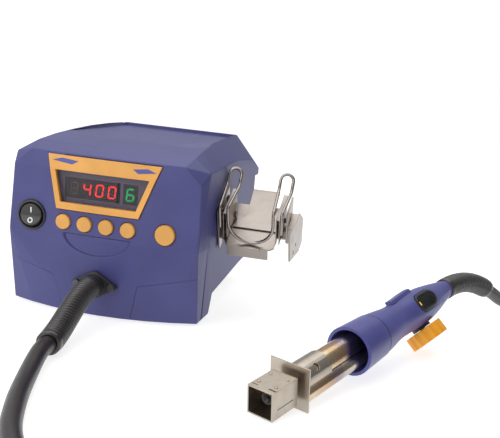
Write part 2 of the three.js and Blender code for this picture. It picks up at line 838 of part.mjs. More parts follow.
// Ribbed boot: ribs and grooves along a curve, a plain collar at each end, and a bore
function ribbedBoot(curve, bore) {
  const sides = 8;
  const rings = [];
  const length = curve.getLength();
  const collarShare = bootCollarLength / length;
  const outer = [[0, bootRadius], [collarShare, bootRadius]];
  const pitchShare = (1 - 2 * collarShare) / (bootRibs + 0.5);
  for (let i = 0; i < bootRibs; i += 1) {
    outer.push([collarShare + pitchShare * (i + 0.5), bootGrooveRadius]);
    outer.push([collarShare + pitchShare * (i + 1), bootRadius]);
  }
  outer.push([1 - collarShare, bootGrooveRadius]);
  outer.push([1 - collarShare + pitchShare / 2, bootRadius]);
  outer.push([1, bootRadius]);
  const inner = [];
  const boreRings = Math.ceil(bootRibs / 5) + 1;
  for (let i = boreRings; i >= 0; i -= 1) inner.push([i / boreRings, bore]);
  for (const [share, radius] of [...outer, ...inner]) {
    const centre = curve.getPointAt(share);
    const tangent = curve.getTangentAt(share);
    const across = tangent.clone().cross(axisZ).normalize();
    const up = across.clone().cross(tangent);
    const ring = [];
    for (let k = 0; k < sides; k += 1) {
      const angle = (2 * Math.PI * k) / sides;
      ring.push(centre.clone()
        .addScaledVector(across, radius * Math.cos(angle))
        .addScaledVector(up, radius * Math.sin(angle)));
    }
    rings.push(ring);
  }
  const positions = rings.flat().flatMap((point) => [point.x, point.y, point.z]);
  const index = [];
  rings.forEach((ring, i) => {
    const next = (i + 1) % rings.length;
    for (let k = 0; k < sides; k += 1) {
      const a = i * sides + k;
      const b = i * sides + ((k + 1) % sides);
      const c = next * sides + k;
      const d = next * sides + ((k + 1) % sides);
      index.push(a, d, b, a, c, d);
    }
  });
  const geometry = new THREE.BufferGeometry();
  geometry.setAttribute('position', new THREE.BufferAttribute(new Float32Array(positions), 3));
  geometry.setIndex(index);
  geometry.computeVertexNormals();
  return geometry;
}

// Base pan with upturned edges, on four rubber feet
function addBase() {
  const inside = housingHull(wall + fitGap);
  const floor = inside.intersect(block(
    -halfWidth, halfWidth, -halfDepth, rearPanelY - fitGap, panHeight, panHeight + panThickness,
  ));
  const rim = inside.subtract(housingHull(wall + fitGap + panThickness)).intersect(block(
    -halfWidth, halfWidth, archFrontShare * halfDepth, rearPanelY - fitGap,
    panHeight, panHeight + panWallHeight,
  ));
  let pan = floor.add(rim);
  const notch = rod(
    vector(hoseX, -halfDepth - overrun, hoseZ), vector(hoseX, -halfDepth + overrun, hoseZ),
    bootRadius + panNotchGap,
  );
  pan = pan.subtract(notch);
  for (const { x, z } of flangeScrewPlaces()) {
    const screwEnd = frontSurfaceY(x, z) + 2 * flangeScrewLength;
    pan = pan.subtract(rod(vector(x, -halfDepth - overrun, z), vector(x, screwEnd, z),
      flangeScrewRadius + 2 * fitGap));
  }
  piece(station, 'base_pan', pan, zinc);
  const footX = halfWidth - footInsetX;
  const footY = halfDepth - footInsetY;
  for (const [sideX, nameX] of [[-1, 'left'], [1, 'right']]) {
    for (const [sideY, nameY] of [[-1, 'front'], [1, 'rear']]) {
      const x = sideX * footX;
      const y = sideY * footY;
      const top = vector(x, y, panHeight - fitGap);
      const foot = rod(vector(x, y, 0), top, footRadius, 24, footTopRadius);
      piece(station, `foot_${nameY}_${nameX}`, foot, rubber);
    }
  }
}

// Rear panel with vents, the mains inlet and the fuse holder
function addRear() {
  const inside = housingHull(wall + fitGap);
  let panel = inside.intersect(block(
    -halfWidth, halfWidth, rearPanelY, rearPanelY + panelThickness, panHeight, lipHeight - fitGap,
  ));
  const holes = [];
  for (let i = 0; i < ventCount; i += 1) {
    const x = ventX + (i - (ventCount - 1) / 2) * ventPitch;
    holes.push(block(x - ventWidth / 2, x + ventWidth / 2, rearPanelY - overrun, rearPanelY + overrun,
      ventZ - ventHeight / 2, ventZ + ventHeight / 2));
  }
  const inletHalf = [inletWidth / 2 + fitGap, inletHeight / 2 + fitGap];
  holes.push(block(inletX - inletHalf[0], inletX + inletHalf[0],
    rearPanelY - overrun, rearPanelY + overrun, inletZ - inletHalf[1], inletZ + inletHalf[1]));
  holes.push(rod(vector(inletX, rearPanelY - overrun, fuseZ), vector(inletX, rearPanelY + overrun, fuseZ),
    fuseRadius + fitGap));
  panel = panel.subtract(joined(holes));
  piece(station, 'rear_panel', panel, black);

  const outY = rearPanelY + panelThickness + fitGap;
  const inletBlock = (growX, growZ, y0, y1) => block(
    inletX - inletWidth / 2 - growX, inletX + inletWidth / 2 + growX, y0, y1,
    inletZ - inletHeight / 2 - growZ, inletZ + inletHeight / 2 + growZ,
  );
  const flangeY = outY + inletFlangeThickness;
  const inlet = inletBlock(0, 0, outY - inletDepth, flangeY).add(
    inletBlock(inletFlange, inletWall, outY, flangeY),
  );
  const mouthY = flangeY - inletMouthDepth;
  let mouth = inletBlock(-inletWall, -inletWall, mouthY, outY + overrun);
  const pinSpread = (inletWidth - 2 * inletWall) / 3;
  const pin = (x, z) => block(x - pinThickness / 2, x + pinThickness / 2, mouthY - fitGap, outY - fitGap,
    z - pinThickness, z + pinThickness);
  mouth = mouth.subtract(joined([
    pin(inletX - pinSpread, inletZ - pinThickness),
    pin(inletX, inletZ + pinThickness),
    pin(inletX + pinSpread, inletZ - pinThickness),
  ]));
  piece(station, 'mains_inlet', inlet.subtract(mouth), black);

  const fuse = rod(vector(inletX, outY - fuseLength, fuseZ), vector(inletX, outY, fuseZ), fuseRadius)
    .add(rod(vector(inletX, outY, fuseZ), vector(inletX, outY + fuseCapLength, fuseZ), fuseCapRadius));
  piece(station, 'fuse_holder', fuse, black);
}

// Blower: scroll housing with outlet duct, cover with intake, impeller on the motor's shaft
function addBlower() {
  const at = (y) => vector(blowerX, y, blowerZ);
  const y0 = blowerY - blowerWidth / 2;
  const y1 = blowerY + blowerWidth / 2;
  const duct = (grow, back) => block(
    blowerX - ductLength - blowerRadius / 2, blowerX, y0 + back, y1 - grow,
    blowerZ + blowerRadius - ductWidth + grow, blowerZ + blowerRadius - grow,
  );
  let scroll = rod(at(y0), at(y1), blowerRadius, 32).add(duct(0, 0));
  const ductOpen = block(
    blowerX - ductLength - blowerRadius / 2 - overrun, blowerX, y0 - overrun, y1 - blowerWall,
    blowerZ + blowerRadius - ductWidth + blowerWall, blowerZ + blowerRadius - blowerWall,
  );
  const chamber = rod(at(y0 - overrun), at(y1 - blowerWall), blowerRadius - blowerWall, 32);
  scroll = scroll.subtract(chamber.add(ductOpen));
  scroll = scroll.subtract(rod(at(y0), at(y1 + overrun), shaftRadius + fitGap, 16));
  const stand = block(
    blowerX - blowerRadius / 2, blowerX + blowerRadius / 2, y0, y1, panHeight + panThickness + fitGap,
    blowerZ - blowerRadius * standTopShare,
  ).subtract(rod(at(y0 - overrun), at(y1 + overrun), blowerRadius - blowerWall / 2, 32));
  scroll = scroll.add(stand);
  piece(station, 'blower_housing', scroll, black);

  const coverOut = rod(at(y0 - blowerWall - fitGap), at(y0 - fitGap), blowerRadius, 32).add(block(
    blowerX - ductLength - blowerRadius / 2, blowerX, y0 - blowerWall - fitGap, y0 - fitGap,
    blowerZ + blowerRadius - ductWidth, blowerZ + blowerRadius,
  ));
  const intake = rod(at(y0 - overrun), at(y0 + overrun), blowerIntakeRadius, 28);
  piece(station, 'blower_cover', coverOut.subtract(intake), black);

  const discY1 = y1 - blowerWall - impellerGap;
  const discY0 = discY1 - impellerDisc;
  let impeller = rod(at(discY0), at(discY1), impellerRadius, 28);
  impeller = impeller.add(rod(at(discY1 - impellerWidth), at(discY1), impellerHubRadius, 20));
  for (let i = 0; i < bladeCount; i += 1) {
    const angle = (360 * i) / bladeCount;
    const blade = block(impellerRadius - bladeLength, impellerRadius - fitGap, discY1 - impellerWidth, discY1,
      -bladeThickness / 2, bladeThickness / 2).rotate([0, angle, 0]).translate([blowerX, 0, blowerZ]);
    impeller = impeller.add(blade);
  }
  impeller = impeller.add(rod(at(discY0), at(y1 + motorBoreDepth), shaftRadius, 16));
  piece(station, 'blower_impeller', impeller, zinc);

  const motor = rod(at(y1 + fitGap), at(y1 + fitGap + motorLength), motorRadius, 32)
    .subtract(rod(at(y1 - overrun), at(y1 + motorBoreDepth + fitGap), shaftRadius + fitGap, 16));
  piece(station, 'blower_motor', motor, steel);
}

// Mains transformer, main circuit board and vacuum pump on the base pan
function addElectrics() {
  const floorZ = panHeight + panThickness + fitGap;
  const half = [transformerWidth / 2, transformerDepth / 2];
  const z1 = floorZ + transformerHeight;
  const core = block(transformerX - half[0], transformerX + half[0], transformerY - transformerCore / 2,
    transformerY + transformerCore / 2, floorZ, z1);
  const lap = transformerCore / 2;
  const windings = block(transformerX - half[0] + lap, transformerX + half[0] - lap,
    transformerY - half[1], transformerY + half[1], floorZ + lap, z1 - lap);
  piece(station, 'mains_transformer', core.add(windings), copper);

  const boardZ = floorZ + boardLift;
  let board = block(boardX - boardWidth / 2, boardX + boardWidth / 2, boardY - boardDepth / 2,
    boardY + boardDepth / 2, boardZ, boardZ + boardThickness);
  for (const sx of [-1, 1]) {
    for (const sy of [-1, 1]) {
      const x = boardX + sx * (boardWidth / 2 - boardLegInset);
      const y = boardY + sy * (boardDepth / 2 - boardLegInset);
      const legTop = vector(x, y, boardZ + boardThickness / 2);
      board = board.add(rod(vector(x, y, floorZ), legTop, boardLegRadius, 12));
    }
  }
  piece(station, 'main_board', board, boardGreen);

  const pumpZ = floorZ + pumpRadius + panThickness;
  const pump = joined([
    rod(vector(pumpX, pumpY, pumpZ), vector(pumpX, pumpY + pumpLength, pumpZ), pumpRadius, 28),
    block(pumpX - pumpHeadWidth / 2, pumpX + pumpHeadWidth / 2, pumpY - pumpHeadLength, pumpY, floorZ,
      floorZ + pumpHeadWidth),
    block(pumpX - pumpSaddle / 2, pumpX + pumpSaddle / 2, pumpY, pumpY + pumpLength, floorZ, pumpZ),
  ]);
  piece(station, 'vacuum_pump', pump, zinc);
}

addHousing();
addDisplay();
addPowerSwitch();
addButtons();
const stationBootY = addHoseFlange() - fitGap;
addBase();
addRear();
addBlower();
addElectrics();

const bootLength = 2 * bootCollarLength + bootRibs * bootRibPitch;
const stationBootStart = vector(hoseX, stationBootY, hoseZ);
const stationBootEnd = vector(
  hoseX + bootDrift, stationBootY - bootLength + bootShortening, hoseZ - bootDrop,
);
const stationBootCurve = new THREE.CubicBezierCurve3(
  stationBootStart,
  vector(hoseX, stationBootY - bootLength * bootBendShare, hoseZ),
  vector(hoseX + bootDrift / 2, stationBootY - bootLength * (1 - bootBendShare), hoseZ - bootDrop),
  stationBootEnd,
);
piece(station, 'station_boot', ribbedBoot(stationBootCurve, hoseRadius + fitGap), rubber);

// Handpiece rest: folded bracket on the station's side, stop plate, outer plate and wire cradle
const rest = new THREE.Group();
rest.position.set(0, restEdgeY, restEdgeZ);
rest.rotation.x = restPitch;
const outerLegX = cradleHalfWidth + legSpacing;
const restLeftX = restSideShare * halfWidth + fitGap;
const restCentreX = restLeftX + restSheet + fitGap + wireRadius + outerLegX;
const restEarX = restCentreX + outerLegX + wireRadius + fitGap;
const restFloorX = restEarX - restFloorMargin;
const carrierInnerX = cradleHalfWidth + wireRadius + fitGap;
const carrierOuterX = outerLegX - wireRadius - fitGap;

function addRest() {
  const along = (outline, x0, width) => prism(outline, vector(x0, 0, 0), axisY, axisZ, width);
  const flat = (outline, z0, height) => prism(outline, vector(0, 0, z0), axisX, axisY, height);
  const floor = flat([
    [restLeftX + restNoseInset, 0],
    [restFloorX - restCornerCut, 0],
    [restFloorX, restCornerCut],
    [restFloorX, restEarFront],
    [restEarX + restSheet, restEarFront],
    [restEarX + restSheet, restPlateRear],
    [restFloorX, restPlateRear],
    [restFloorX, restDepth],
    [restLeftX, restDepth],
    [restLeftX, restNoseLength],
    [restLeftX + restNoseInset / 2, restNoseLength],
  ], -restSheet, restSheet);
  const plate = along([
    [restPlateFront, -restTabDrop],
    [restPlateFront + restTabWidth, -restTabDrop],
    [restPlateFront + restTabWidth, -restSheet],
    [restPlateRear, -restSheet],
    [restPlateRear, restPlateTop],
    [restPlateFront, restPlateTop],
  ], restLeftX, restSheet);
  const ear = along([
    [restEarFront + restEarCut, -restEarDrop],
    [restPlateRear - restEarCut, -restEarDrop],
    [restPlateRear, -restEarDrop + restEarCut],
    [restPlateRear, restEarTop],
    [restEarFront, restEarTop],
    [restEarFront, -restEarDrop + restEarCut],
  ], restEarX, restSheet);
  const lip = block(restLeftX + restNoseInset, restFloorX - restLipInset,
    restLipSetback, restLipSetback + restSheet, -restLipDrop, -restSheet / 2);
  const tongueX0 = restCentreX - restTongueWidth / 2;
  const tongueX1 = restCentreX + restTongueWidth / 2;
  const tongue = block(tongueX0, tongueX1, -restSheet, restSheet / 2, -restTongueDrop, 0);
  const cuts = [tongueX0 - restNotch, tongueX1].map(
    (x) => block(x, x + restNotch, -overrun, restNotch, -overrun, overrun));
  cuts.push(rod(
    vector(restLeftX - overrun, pivotPlace, pivotHeight),
    vector(restEarX + overrun, pivotPlace, pivotHeight), pivotScrewRadius + fitGap,
  ));
  for (const y of [restScrewFirstY, restScrewSecondY]) {
    cuts.push(rod(
      vector(restLeftX - overrun, y, restScrewHeight),
      vector(restLeftX + overrun / 2, y, restScrewHeight), restScrewRadius + fitGap, 16,
    ));
  }
  const bracket = joined([floor, plate, ear, lip, tongue]).subtract(joined(cuts));
  piece(rest, 'rest_bracket', bracket, steel);
  addStopPlate();
  addOuterPlate();
}

// Stop plate: a wide foot on the floor, then a strip that rises in facets to a rolled end
function addStopPlate() {
  const z0 = fitGap;
  const foot = block(restCentreX - carrierInnerX + 2 * fitGap, restCentreX + carrierInnerX - 2 * fitGap,
    stopFootFront, stopFootRear, z0, z0 + stopPlateSheet);
  const lower = [[stopFootRear - stopFacetLength, z0], [stopFootRear, z0]];
  for (let i = 1; i <= stopFacetCount; i += 1) {
    const [y, z] = lower[lower.length - 1];
    const angle = i * stopFacetTurn;
    lower.push([y + stopFacetLength * Math.cos(angle), z + stopFacetLength * Math.sin(angle)]);
  }
  const upper = lower.map(([y, z]) => [y, z + stopPlateSheet]).reverse();
  const left = vector(restCentreX - stopPlateHalfWidth, 0, 0);
  const strip = prism([...lower, ...upper], left, axisY, axisZ, 2 * stopPlateHalfWidth);
  const [endY, endZ] = lower[lower.length - 1];
  const roll = rod(
    vector(restCentreX - stopPlateHalfWidth, endY, endZ + stopPlateSheet - stopRollRadius),
    vector(restCentreX + stopPlateHalfWidth, endY, endZ + stopPlateSheet - stopRollRadius),
    stopRollRadius, 14,
  );
  piece(rest, 'stop_plate', joined([foot, strip, roll]), steel);
}

// Outer plate: it stands out from the ear, with a flange that meets the ear
function addOuterPlate() {
  const out = vector(Math.sin(outerPlateSplay), Math.cos(outerPlateSplay), 0);
  const innerX = restEarX + restSheet + outerPlateGap;
  const upright = prism([
    [outerPlateFront, outerPlateTop],
    [outerPlateTopRear, outerPlateTop],
    [outerPlateRear, -outerPlateShoulder],
    [outerPlateRear, -outerPlateRearDrop],
    [outerPlateHeel, -outerPlateHeelDrop],
    [outerPlateToe, -outerPlateToeDrop],
  ], vector(innerX, 0, 0), out, axisZ, restSheet);
  const plateX = (y) => innerX + y * Math.tan(outerPlateSplay) + restSheet / 2;
  const flangeX = restEarX + restSheet + fitGap;
  const flange = prism([
    [flangeX, restEarFront],
    [plateX(restEarFront), restEarFront],
    [plateX(outerPlateTopRear), outerPlateTopRear - restSheet],
    [flangeX, outerPlateTopRear - restSheet],
  ], vector(0, 0, outerPlateTop - restSheet), axisX, axisY, restSheet);
  const holes = [0, 1].map((i) => {
    const y = outerPlateHoleY + i * outerPlateHoleStep;
    const z = -outerPlateHoleDrop + i * outerPlateHoleStep / 2;
    return rod(vector(restEarX, y, z), vector(innerX + overrun, y, z), outerPlateHoleRadius, 14);
  });
  piece(rest, 'outer_plate', upright.add(flange).subtract(joined(holes)), steel);
}

const cradle = new THREE.Group();

// Points of the bent wire, from the left leg's foot round both hairpins and the loop
function cradlePoints() {
  const pinRadius = hairpinWidth / 2;
  const pinInnerX = cradleHalfWidth - hairpinInset;
  const pinX = pinInnerX + pinRadius;
  const loopZ = wireRadius + fitGap + cradleHalfWidth;
  const half = [
    { corner: false, place: vector(outerLegX, loopPlace, legFootHeight) },
    { corner: true, place: vector(outerLegX, loopPlace, runHeight) },
    { corner: true, place: vector(pinX + pinRadius, runRear, runHeight) },
  ];
  const pinSteps = 7;
  for (let i = 0; i <= pinSteps; i += 1) {
    const angle = (Math.PI * i) / pinSteps;
    const rise = pinRadius * Math.sin(angle);
    half.push({
      corner: false,
      place: vector(pinX + pinRadius * Math.cos(angle),
        hairpinPlace + rise * Math.cos(hairpinSlope), hairpinHeight + rise * Math.sin(hairpinSlope)),
    });
  }
  half.push({ corner: true, place: vector(pinInnerX, runRear, runHeight) });
  half.push({ corner: true, place: vector(cradleHalfWidth, loopPlace, runHeight) });
  const loopSteps = 7;
  for (let i = 0; i < loopSteps; i += 1) {
    const angle = (Math.PI / 2) * (i / loopSteps);
    half.push({
      corner: false,
      place: vector(cradleHalfWidth * Math.cos(angle), loopPlace,
        loopZ - cradleHalfWidth * Math.sin(angle)),
    });
  }
  const mirrored = ({ corner, place }) => ({ corner, place: vector(-place.x, place.y, place.z) });
  const lowest = { corner: false, place: vector(0, loopPlace, loopZ - cradleHalfWidth) };
  const chain = [...half.map(mirrored), lowest, ...[...half].reverse()];
  const points = [];
  chain.forEach(({ corner, place }, i) => {
    if (!corner) {
      points.push(place);
      return;
    }
    const entry = chain[i - 1].place.clone().sub(place).setLength(wireBend).add(place);
    const exit = chain[i + 1].place.clone().sub(place).setLength(wireBend).add(place);
    const bend = new THREE.QuadraticBezierCurve3(entry, place, exit);
    points.push(...bend.getPoints(3));
  });
  return points.map((point) => point.sub(vector(0, pivotPlace, pivotHeight)));
}

// Round bar along a chain of points, its section carried on without twist
function wireTube(points, radius, sides) {
  const positions = [];
  let side = axisY.clone();
  points.forEach((point, i) => {
    const before = points[Math.max(i - 1, 0)];
    const after = points[Math.min(i + 1, points.length - 1)];
    const tangent = after.clone().sub(before).normalize();
    side = side.clone().addScaledVector(tangent, -side.dot(tangent)).normalize();
    const across = side.clone().cross(tangent);
    for (let k = 0; k < sides; k += 1) {
      const angle = (2 * Math.PI * k) / sides;
      const place = point.clone()
        .addScaledVector(side, radius * Math.cos(angle))
        .addScaledVector(across, radius * Math.sin(angle));
      positions.push(place.x, place.y, place.z);
    }
  });
  const index = [];
  for (let i = 0; i + 1 < points.length; i += 1) {
    for (let k = 0; k < sides; k += 1) {
      const a = i * sides + k;
      const b = i * sides + ((k + 1) % sides);
      index.push(a, b + sides, b, a, a + sides, b + sides);
    }
  }
  const last = (points.length - 1) * sides;
  for (let k = 1; k + 1 < sides; k += 1) {
    index.push(0, k, k + 1);
    index.push(last, last + k + 1, last + k);
  }
  const geometry = new THREE.BufferGeometry();
  geometry.setAttribute('position', new THREE.BufferAttribute(new Float32Array(positions), 3));
  geometry.setIndex(index);
  geometry.computeVertexNormals();
  return geometry;
}

function addCradle() {
  cradle.position.set(restCentreX, pivotPlace, pivotHeight);
  piece(cradle, 'wire_cradle', wireTube(cradlePoints(), wireRadius, 8), steel);
  const channelOutline = [
    [carrierFront, carrierClearance],
    [carrierHeelStart, carrierClearance],
    [carrierRear, carrierHeel],
    [carrierRear, carrierHeight],
    [carrierFront, carrierHeight],
  ].map(([y, z]) => [y - pivotPlace, z - pivotHeight]);
  const hollow = [
    [carrierFront - pivotPlace - overrun, carrierHeight - pivotHeight - carrierSheet],
    [carrierFront - pivotPlace - overrun, -pivotHeight - overrun],
    [carrierRear - pivotPlace + overrun, -pivotHeight - overrun],
    [carrierRear - pivotPlace + overrun, carrierHeight - pivotHeight - carrierSheet],
  ];
  for (const [side, name] of [[-1, 'left'], [1, 'right']]) {
    const x0 = Math.min(side * carrierInnerX, side * carrierOuterX);
    const x1 = Math.max(side * carrierInnerX, side * carrierOuterX);
    const start = (x) => vector(x, 0, 0);
    const channel = prism(channelOutline, start(x0), axisY, axisZ, x1 - x0).subtract(
      prism(hollow, start(x0 + carrierSheet), axisY, axisZ, x1 - x0 - 2 * carrierSheet),
    );
    const bore = rod(start(x0 - overrun), start(x1 + overrun), pivotScrewRadius + fitGap);
    piece(cradle, `${name}_carrier`, channel.subtract(bore), steel);

    const at = (x) => vector(restCentreX + side * x, pivotPlace, pivotHeight);
    const headX = carrierInnerX - fitGap;
    const nutX = restEarX - restCentreX + restSheet + fitGap;
    const end = side < 0 ? restCentreX - restLeftX : nutX + pivotNutHeight;
    let screw = rod(at(headX), at(end), pivotScrewRadius, 20).add(
      rod(at(headX - pivotHeadThickness), at(headX), pivotHeadRadius, 20));
    if (side > 0) screw = screw.add(rod(at(nutX), at(nutX + pivotNutHeight), pivotHeadRadius, 6));
    piece(rest, `${name}_pivot_screw`, screw, steel);
  }
}

addRest();
addCradle();

// Handpiece, in its own frame: X from the nozzle's mouth to the rear, Z towards the window
const handpiece = new THREE.Group();
const vacuumLift = new THREE.Group();

function easeBetween(a, b, t) {
  return a + (b - a) * (1 - Math.cos(Math.PI * t)) / 2;
}

function handleRadius(place) {
  if (place <= waistPlace) {
    const t = Math.max(0, place - collarEnd) / (waistPlace - collarEnd);
    return easeBetween(handleFrontRadius, waistRadius, t);
  }
  if (place <= handleMaxPlace) {
    return easeBetween(waistRadius, handleMaxRadius, (place - waistPlace) / (handleMaxPlace - waistPlace));
  }
  const t = Math.min(1, (place - handleMaxPlace) / (handleEnd - handleMaxPlace));
  const taper = (share) => 1 - Math.cos(Math.PI * share * rearTaperShare);
  return handleMaxRadius + (handleEndRadius - handleMaxRadius) * taper(t) / taper(1);
}

const handleStart = collarEnd + fitGap;
const handleSteps = 14;

// Solid of the handle's outline, grown by an amount
function handleSolid(grow, from = handleStart, to = handleEnd) {
  const profile = [[from, 0]];
  for (let i = 0; i <= handleSteps; i += 1) {
    const place = from + ((to - from) * i) / handleSteps;
    profile.push([place, handleRadius(place) + grow]);
  }
  profile.push([to, 0]);
  return turned(profile, 28);
}

// Oval in the plane of X and Y, as a prism along Z
function ovalPrism(length, width, z0, z1) {
  const radius = width / 2;
  const reach = length / 2 - radius;
  const shape = new THREE.Shape();
  shape.absarc(lensPlace + reach, 0, radius, -Math.PI / 2, Math.PI / 2, false);
  shape.absarc(lensPlace - reach, 0, radius, Math.PI / 2, (3 * Math.PI) / 2, false);
  shape.closePath();
  return prism(shape, vector(0, 0, z0), axisX, axisY, z1 - z0, 8);
}

const pitchRadius = (toothPitch * pinionTeeth) / (2 * Math.PI);
const rackPitchZ = -(vacuumRadius + fitGap + rackHeight) + toothDepth / 2;
const knobZ = rackPitchZ - pitchRadius;
const seatOuterY = -(handleMaxRadius + seatThickness - seatSink);
const knobInnerY = seatOuterY - fitGap;
const knobOuterY = knobInnerY - knobThickness;

function addHandleShells() {
  const outer = handleSolid(0);
  const inner = handleSolid(-handleWall, handleStart - fitGap, handleEnd + fitGap);
  const tube = outer.subtract(inner);
  const half = (z0, z1) => block(handleStart - overrun, handleEnd + overrun,
    -overrun * 2, overrun * 2, z0, z1);
  const upperHalf = half(fitGap / 2, overrun * 2);
  const lowerHalf = half(-overrun * 2, -fitGap / 2);
  const oval = ovalPrism(lensLength + 2 * fitGap, lensWidth + 2 * fitGap, 0, 2 * overrun);
  const slot = block(sideButtonStart - fitGap, sideButtonEnd + fitGap, 0, 2 * overrun,
    sideButtonZ - sideButtonHeight / 2 - fitGap, sideButtonZ + sideButtonHeight / 2 + fitGap);
  piece(handpiece, 'handle_upper_shell', tube.intersect(upperHalf).subtract(oval).subtract(slot), blue);
  const shaftBore = rod(vector(knobPlace, 0, knobZ), vector(knobPlace, -2 * overrun, knobZ),
    knobShaftRadius + fitGap);
  piece(handpiece, 'handle_lower_shell', tube.intersect(lowerHalf).subtract(shaftBore), blue);

  const sheath = handleSolid(lensProud).subtract(handleSolid(-lensDepth));
  const frame = sheath.intersect(ovalPrism(lensLength, lensWidth, 0, 2 * overrun))
    .subtract(ovalPrism(lensLength - 2 * lensBand, lensWidth - 2 * lensBand, 0, 2 * overrun));
  piece(handpiece, 'window_frame', frame, black);
  const lensSheath = handleSolid(lensProud / 2).subtract(handleSolid(-lensDepth));
  const lens = lensSheath.intersect(ovalPrism(
    lensLength - 2 * lensBand - 2 * fitGap, lensWidth - 2 * lensBand - 2 * fitGap, 0, 2 * overrun,
  ));
  piece(handpiece, 'window_lens', lens, smoked);

  const boardTop = handleMaxRadius - handleWall - lampBoardDrop - lampHeight;
  const boardHalf = lensLength / 2 - lensBand;
  const boardEdge = sideButtonInnerY - sideButtonTravel - 2 * fitGap;
  const board = block(lensPlace - boardHalf, lensPlace + boardHalf, -handleMaxRadius, boardEdge,
    boardTop - lampBoardThickness, boardTop).intersect(handleSolid(-handleWall - fitGap));
  piece(handpiece, 'lamp_board', board, boardGreen);
  const lampX = lensPlace - lampSetback;
  const lamp = block(lampX - lampSize / 2, lampX + lampSize / 2, -lampSize / 2, lampSize / 2,
    boardTop + fitGap, boardTop + fitGap + lampHeight);
  piece(handpiece, 'amber_lamp', lamp, amber);

  const button = handleSolid(sideButtonProud).intersect(block(
    sideButtonStart, sideButtonEnd, sideButtonInnerY, 2 * overrun,
    sideButtonZ - sideButtonHeight / 2, sideButtonZ + sideButtonHeight / 2,
  ));
  const buttonRim = handleSolid(-handleWall - fitGap).intersect(block(
    sideButtonStart - sideButtonFlange, sideButtonEnd + sideButtonFlange, sideButtonInnerY, 2 * overrun,
    sideButtonZ - sideButtonHeight / 2 - sideButtonFlange,
    sideButtonZ + sideButtonHeight / 2 + sideButtonFlange,
  ));
  piece(handpiece, 'side_button', button.add(buttonRim), blue);
}

// Front collar with the bulkhead that holds the pipes
function pipeBores(from, to, grow) {
  return rod(vector(from, pipeOffset, 0), vector(to, pipeOffset, 0), heaterRadius + grow, 32)
    .add(rod(vector(from, sidePipeOffset, 0), vector(to, sidePipeOffset, 0), sidePipeRadius + grow, 24));
}

function addBarrel() {
  const collar = turned([
    [collarStart, 0], [collarStart, collarFrontRadius], [collarEnd, collarRearRadius], [collarEnd, 0],
  ], 32);
  const hollow = turned([
    [collarStart - overrun, 0], [collarStart - overrun, collarFrontRadius - collarWall],
    [collarEnd - bulkhead, collarRearRadius - collarWall], [collarEnd - bulkhead, 0],
  ], 32);
  const bores = pipeBores(collarStart - overrun, collarEnd + overrun, boreGap);
  piece(handpiece, 'front_collar', collar.subtract(hollow).subtract(bores), blue);

  const main = (from, to, radius, sides = 32) =>
    rod(vector(from, pipeOffset, 0), vector(to, pipeOffset, 0), radius, sides);
  piece(handpiece, 'heater_pipe', main(heaterStart, heaterEnd, heaterRadius)
    .subtract(main(heaterStart - overrun, heaterEnd + overrun, heaterRadius - heaterWall)), steel);

  const side = (from, to, radius, y) => rod(vector(from, y, 0), vector(to, y, 0), radius, 24);
  const sideStart = shieldPlace + shieldThickness + fitGap;
  const boreY = (sidePipeOffset - sidePipeRadius + pipeOffset - heaterRadius) / 2;
  const sidePipe = side(sideStart, heaterEnd, sidePipeRadius, sidePipeOffset)
    .subtract(main(sideStart - overrun, heaterEnd + overrun, heaterRadius + fitGap))
    .subtract(main(sideStart - overrun, sleeveEnd + fitGap, sleeveRadius + fitGap))
    .subtract(side(sideStart - overrun, heaterEnd + overrun, sidePipeBore, boreY));
  piece(handpiece, 'side_pipe', sidePipe, steel);

  piece(handpiece, 'heater_core', main(coreStart, coreEnd, coreRadius, 24)
    .subtract(main(coreStart - overrun, coreEnd + overrun, coreBore, 16)), ceramic);
}

// Nozzle: folded box, neck, square heat shield and the sleeve on the heater pipe
function addNozzle() {
  const group = new THREE.Group();
  group.position.set(0, pipeOffset, 0);
  group.rotation.x = -handpieceRoll;
  const half = nozzleWidth / 2;
  const open = half - nozzleSheet;
  const shieldHalf = shieldWidth / 2;
  const tube = (from, to, radius, sides = 32) => rod(vector(from, 0, 0), vector(to, 0, 0), radius, sides);
  let nozzle = block(0, nozzleLength, -half, half, -half, half)
    .subtract(block(-overrun, nozzleLength - nozzleSheet, -open, open, -open, open));
  nozzle = joined([
    nozzle,
    tube(nozzleLength - nozzleSheet / 2, shieldPlace + shieldThickness, neckRadius, 24),
    block(shieldPlace, shieldPlace + shieldThickness, -shieldHalf, shieldHalf, -shieldHalf, shieldHalf),
    tube(shieldPlace + shieldThickness / 2, sleeveEnd, sleeveRadius),
  ]);
  nozzle = nozzle
    .subtract(tube(nozzleLength - 2 * nozzleSheet, sleeveEnd + overrun, neckRadius - neckWall, 24))
    .subtract(tube(shieldPlace + shieldThickness + nozzleSheet, sleeveEnd + overrun, heaterRadius + fitGap));
  const holeStart = vector(sleeveHolePlace, -overrun, overrun);
  const hole = rod(holeStart, vector(sleeveHolePlace, 0, 0), sleeveHoleRadius, 16);
  nozzle = nozzle.subtract(hole);
  piece(group, 'nozzle', nozzle, steel);
  handpiece.add(group);
}

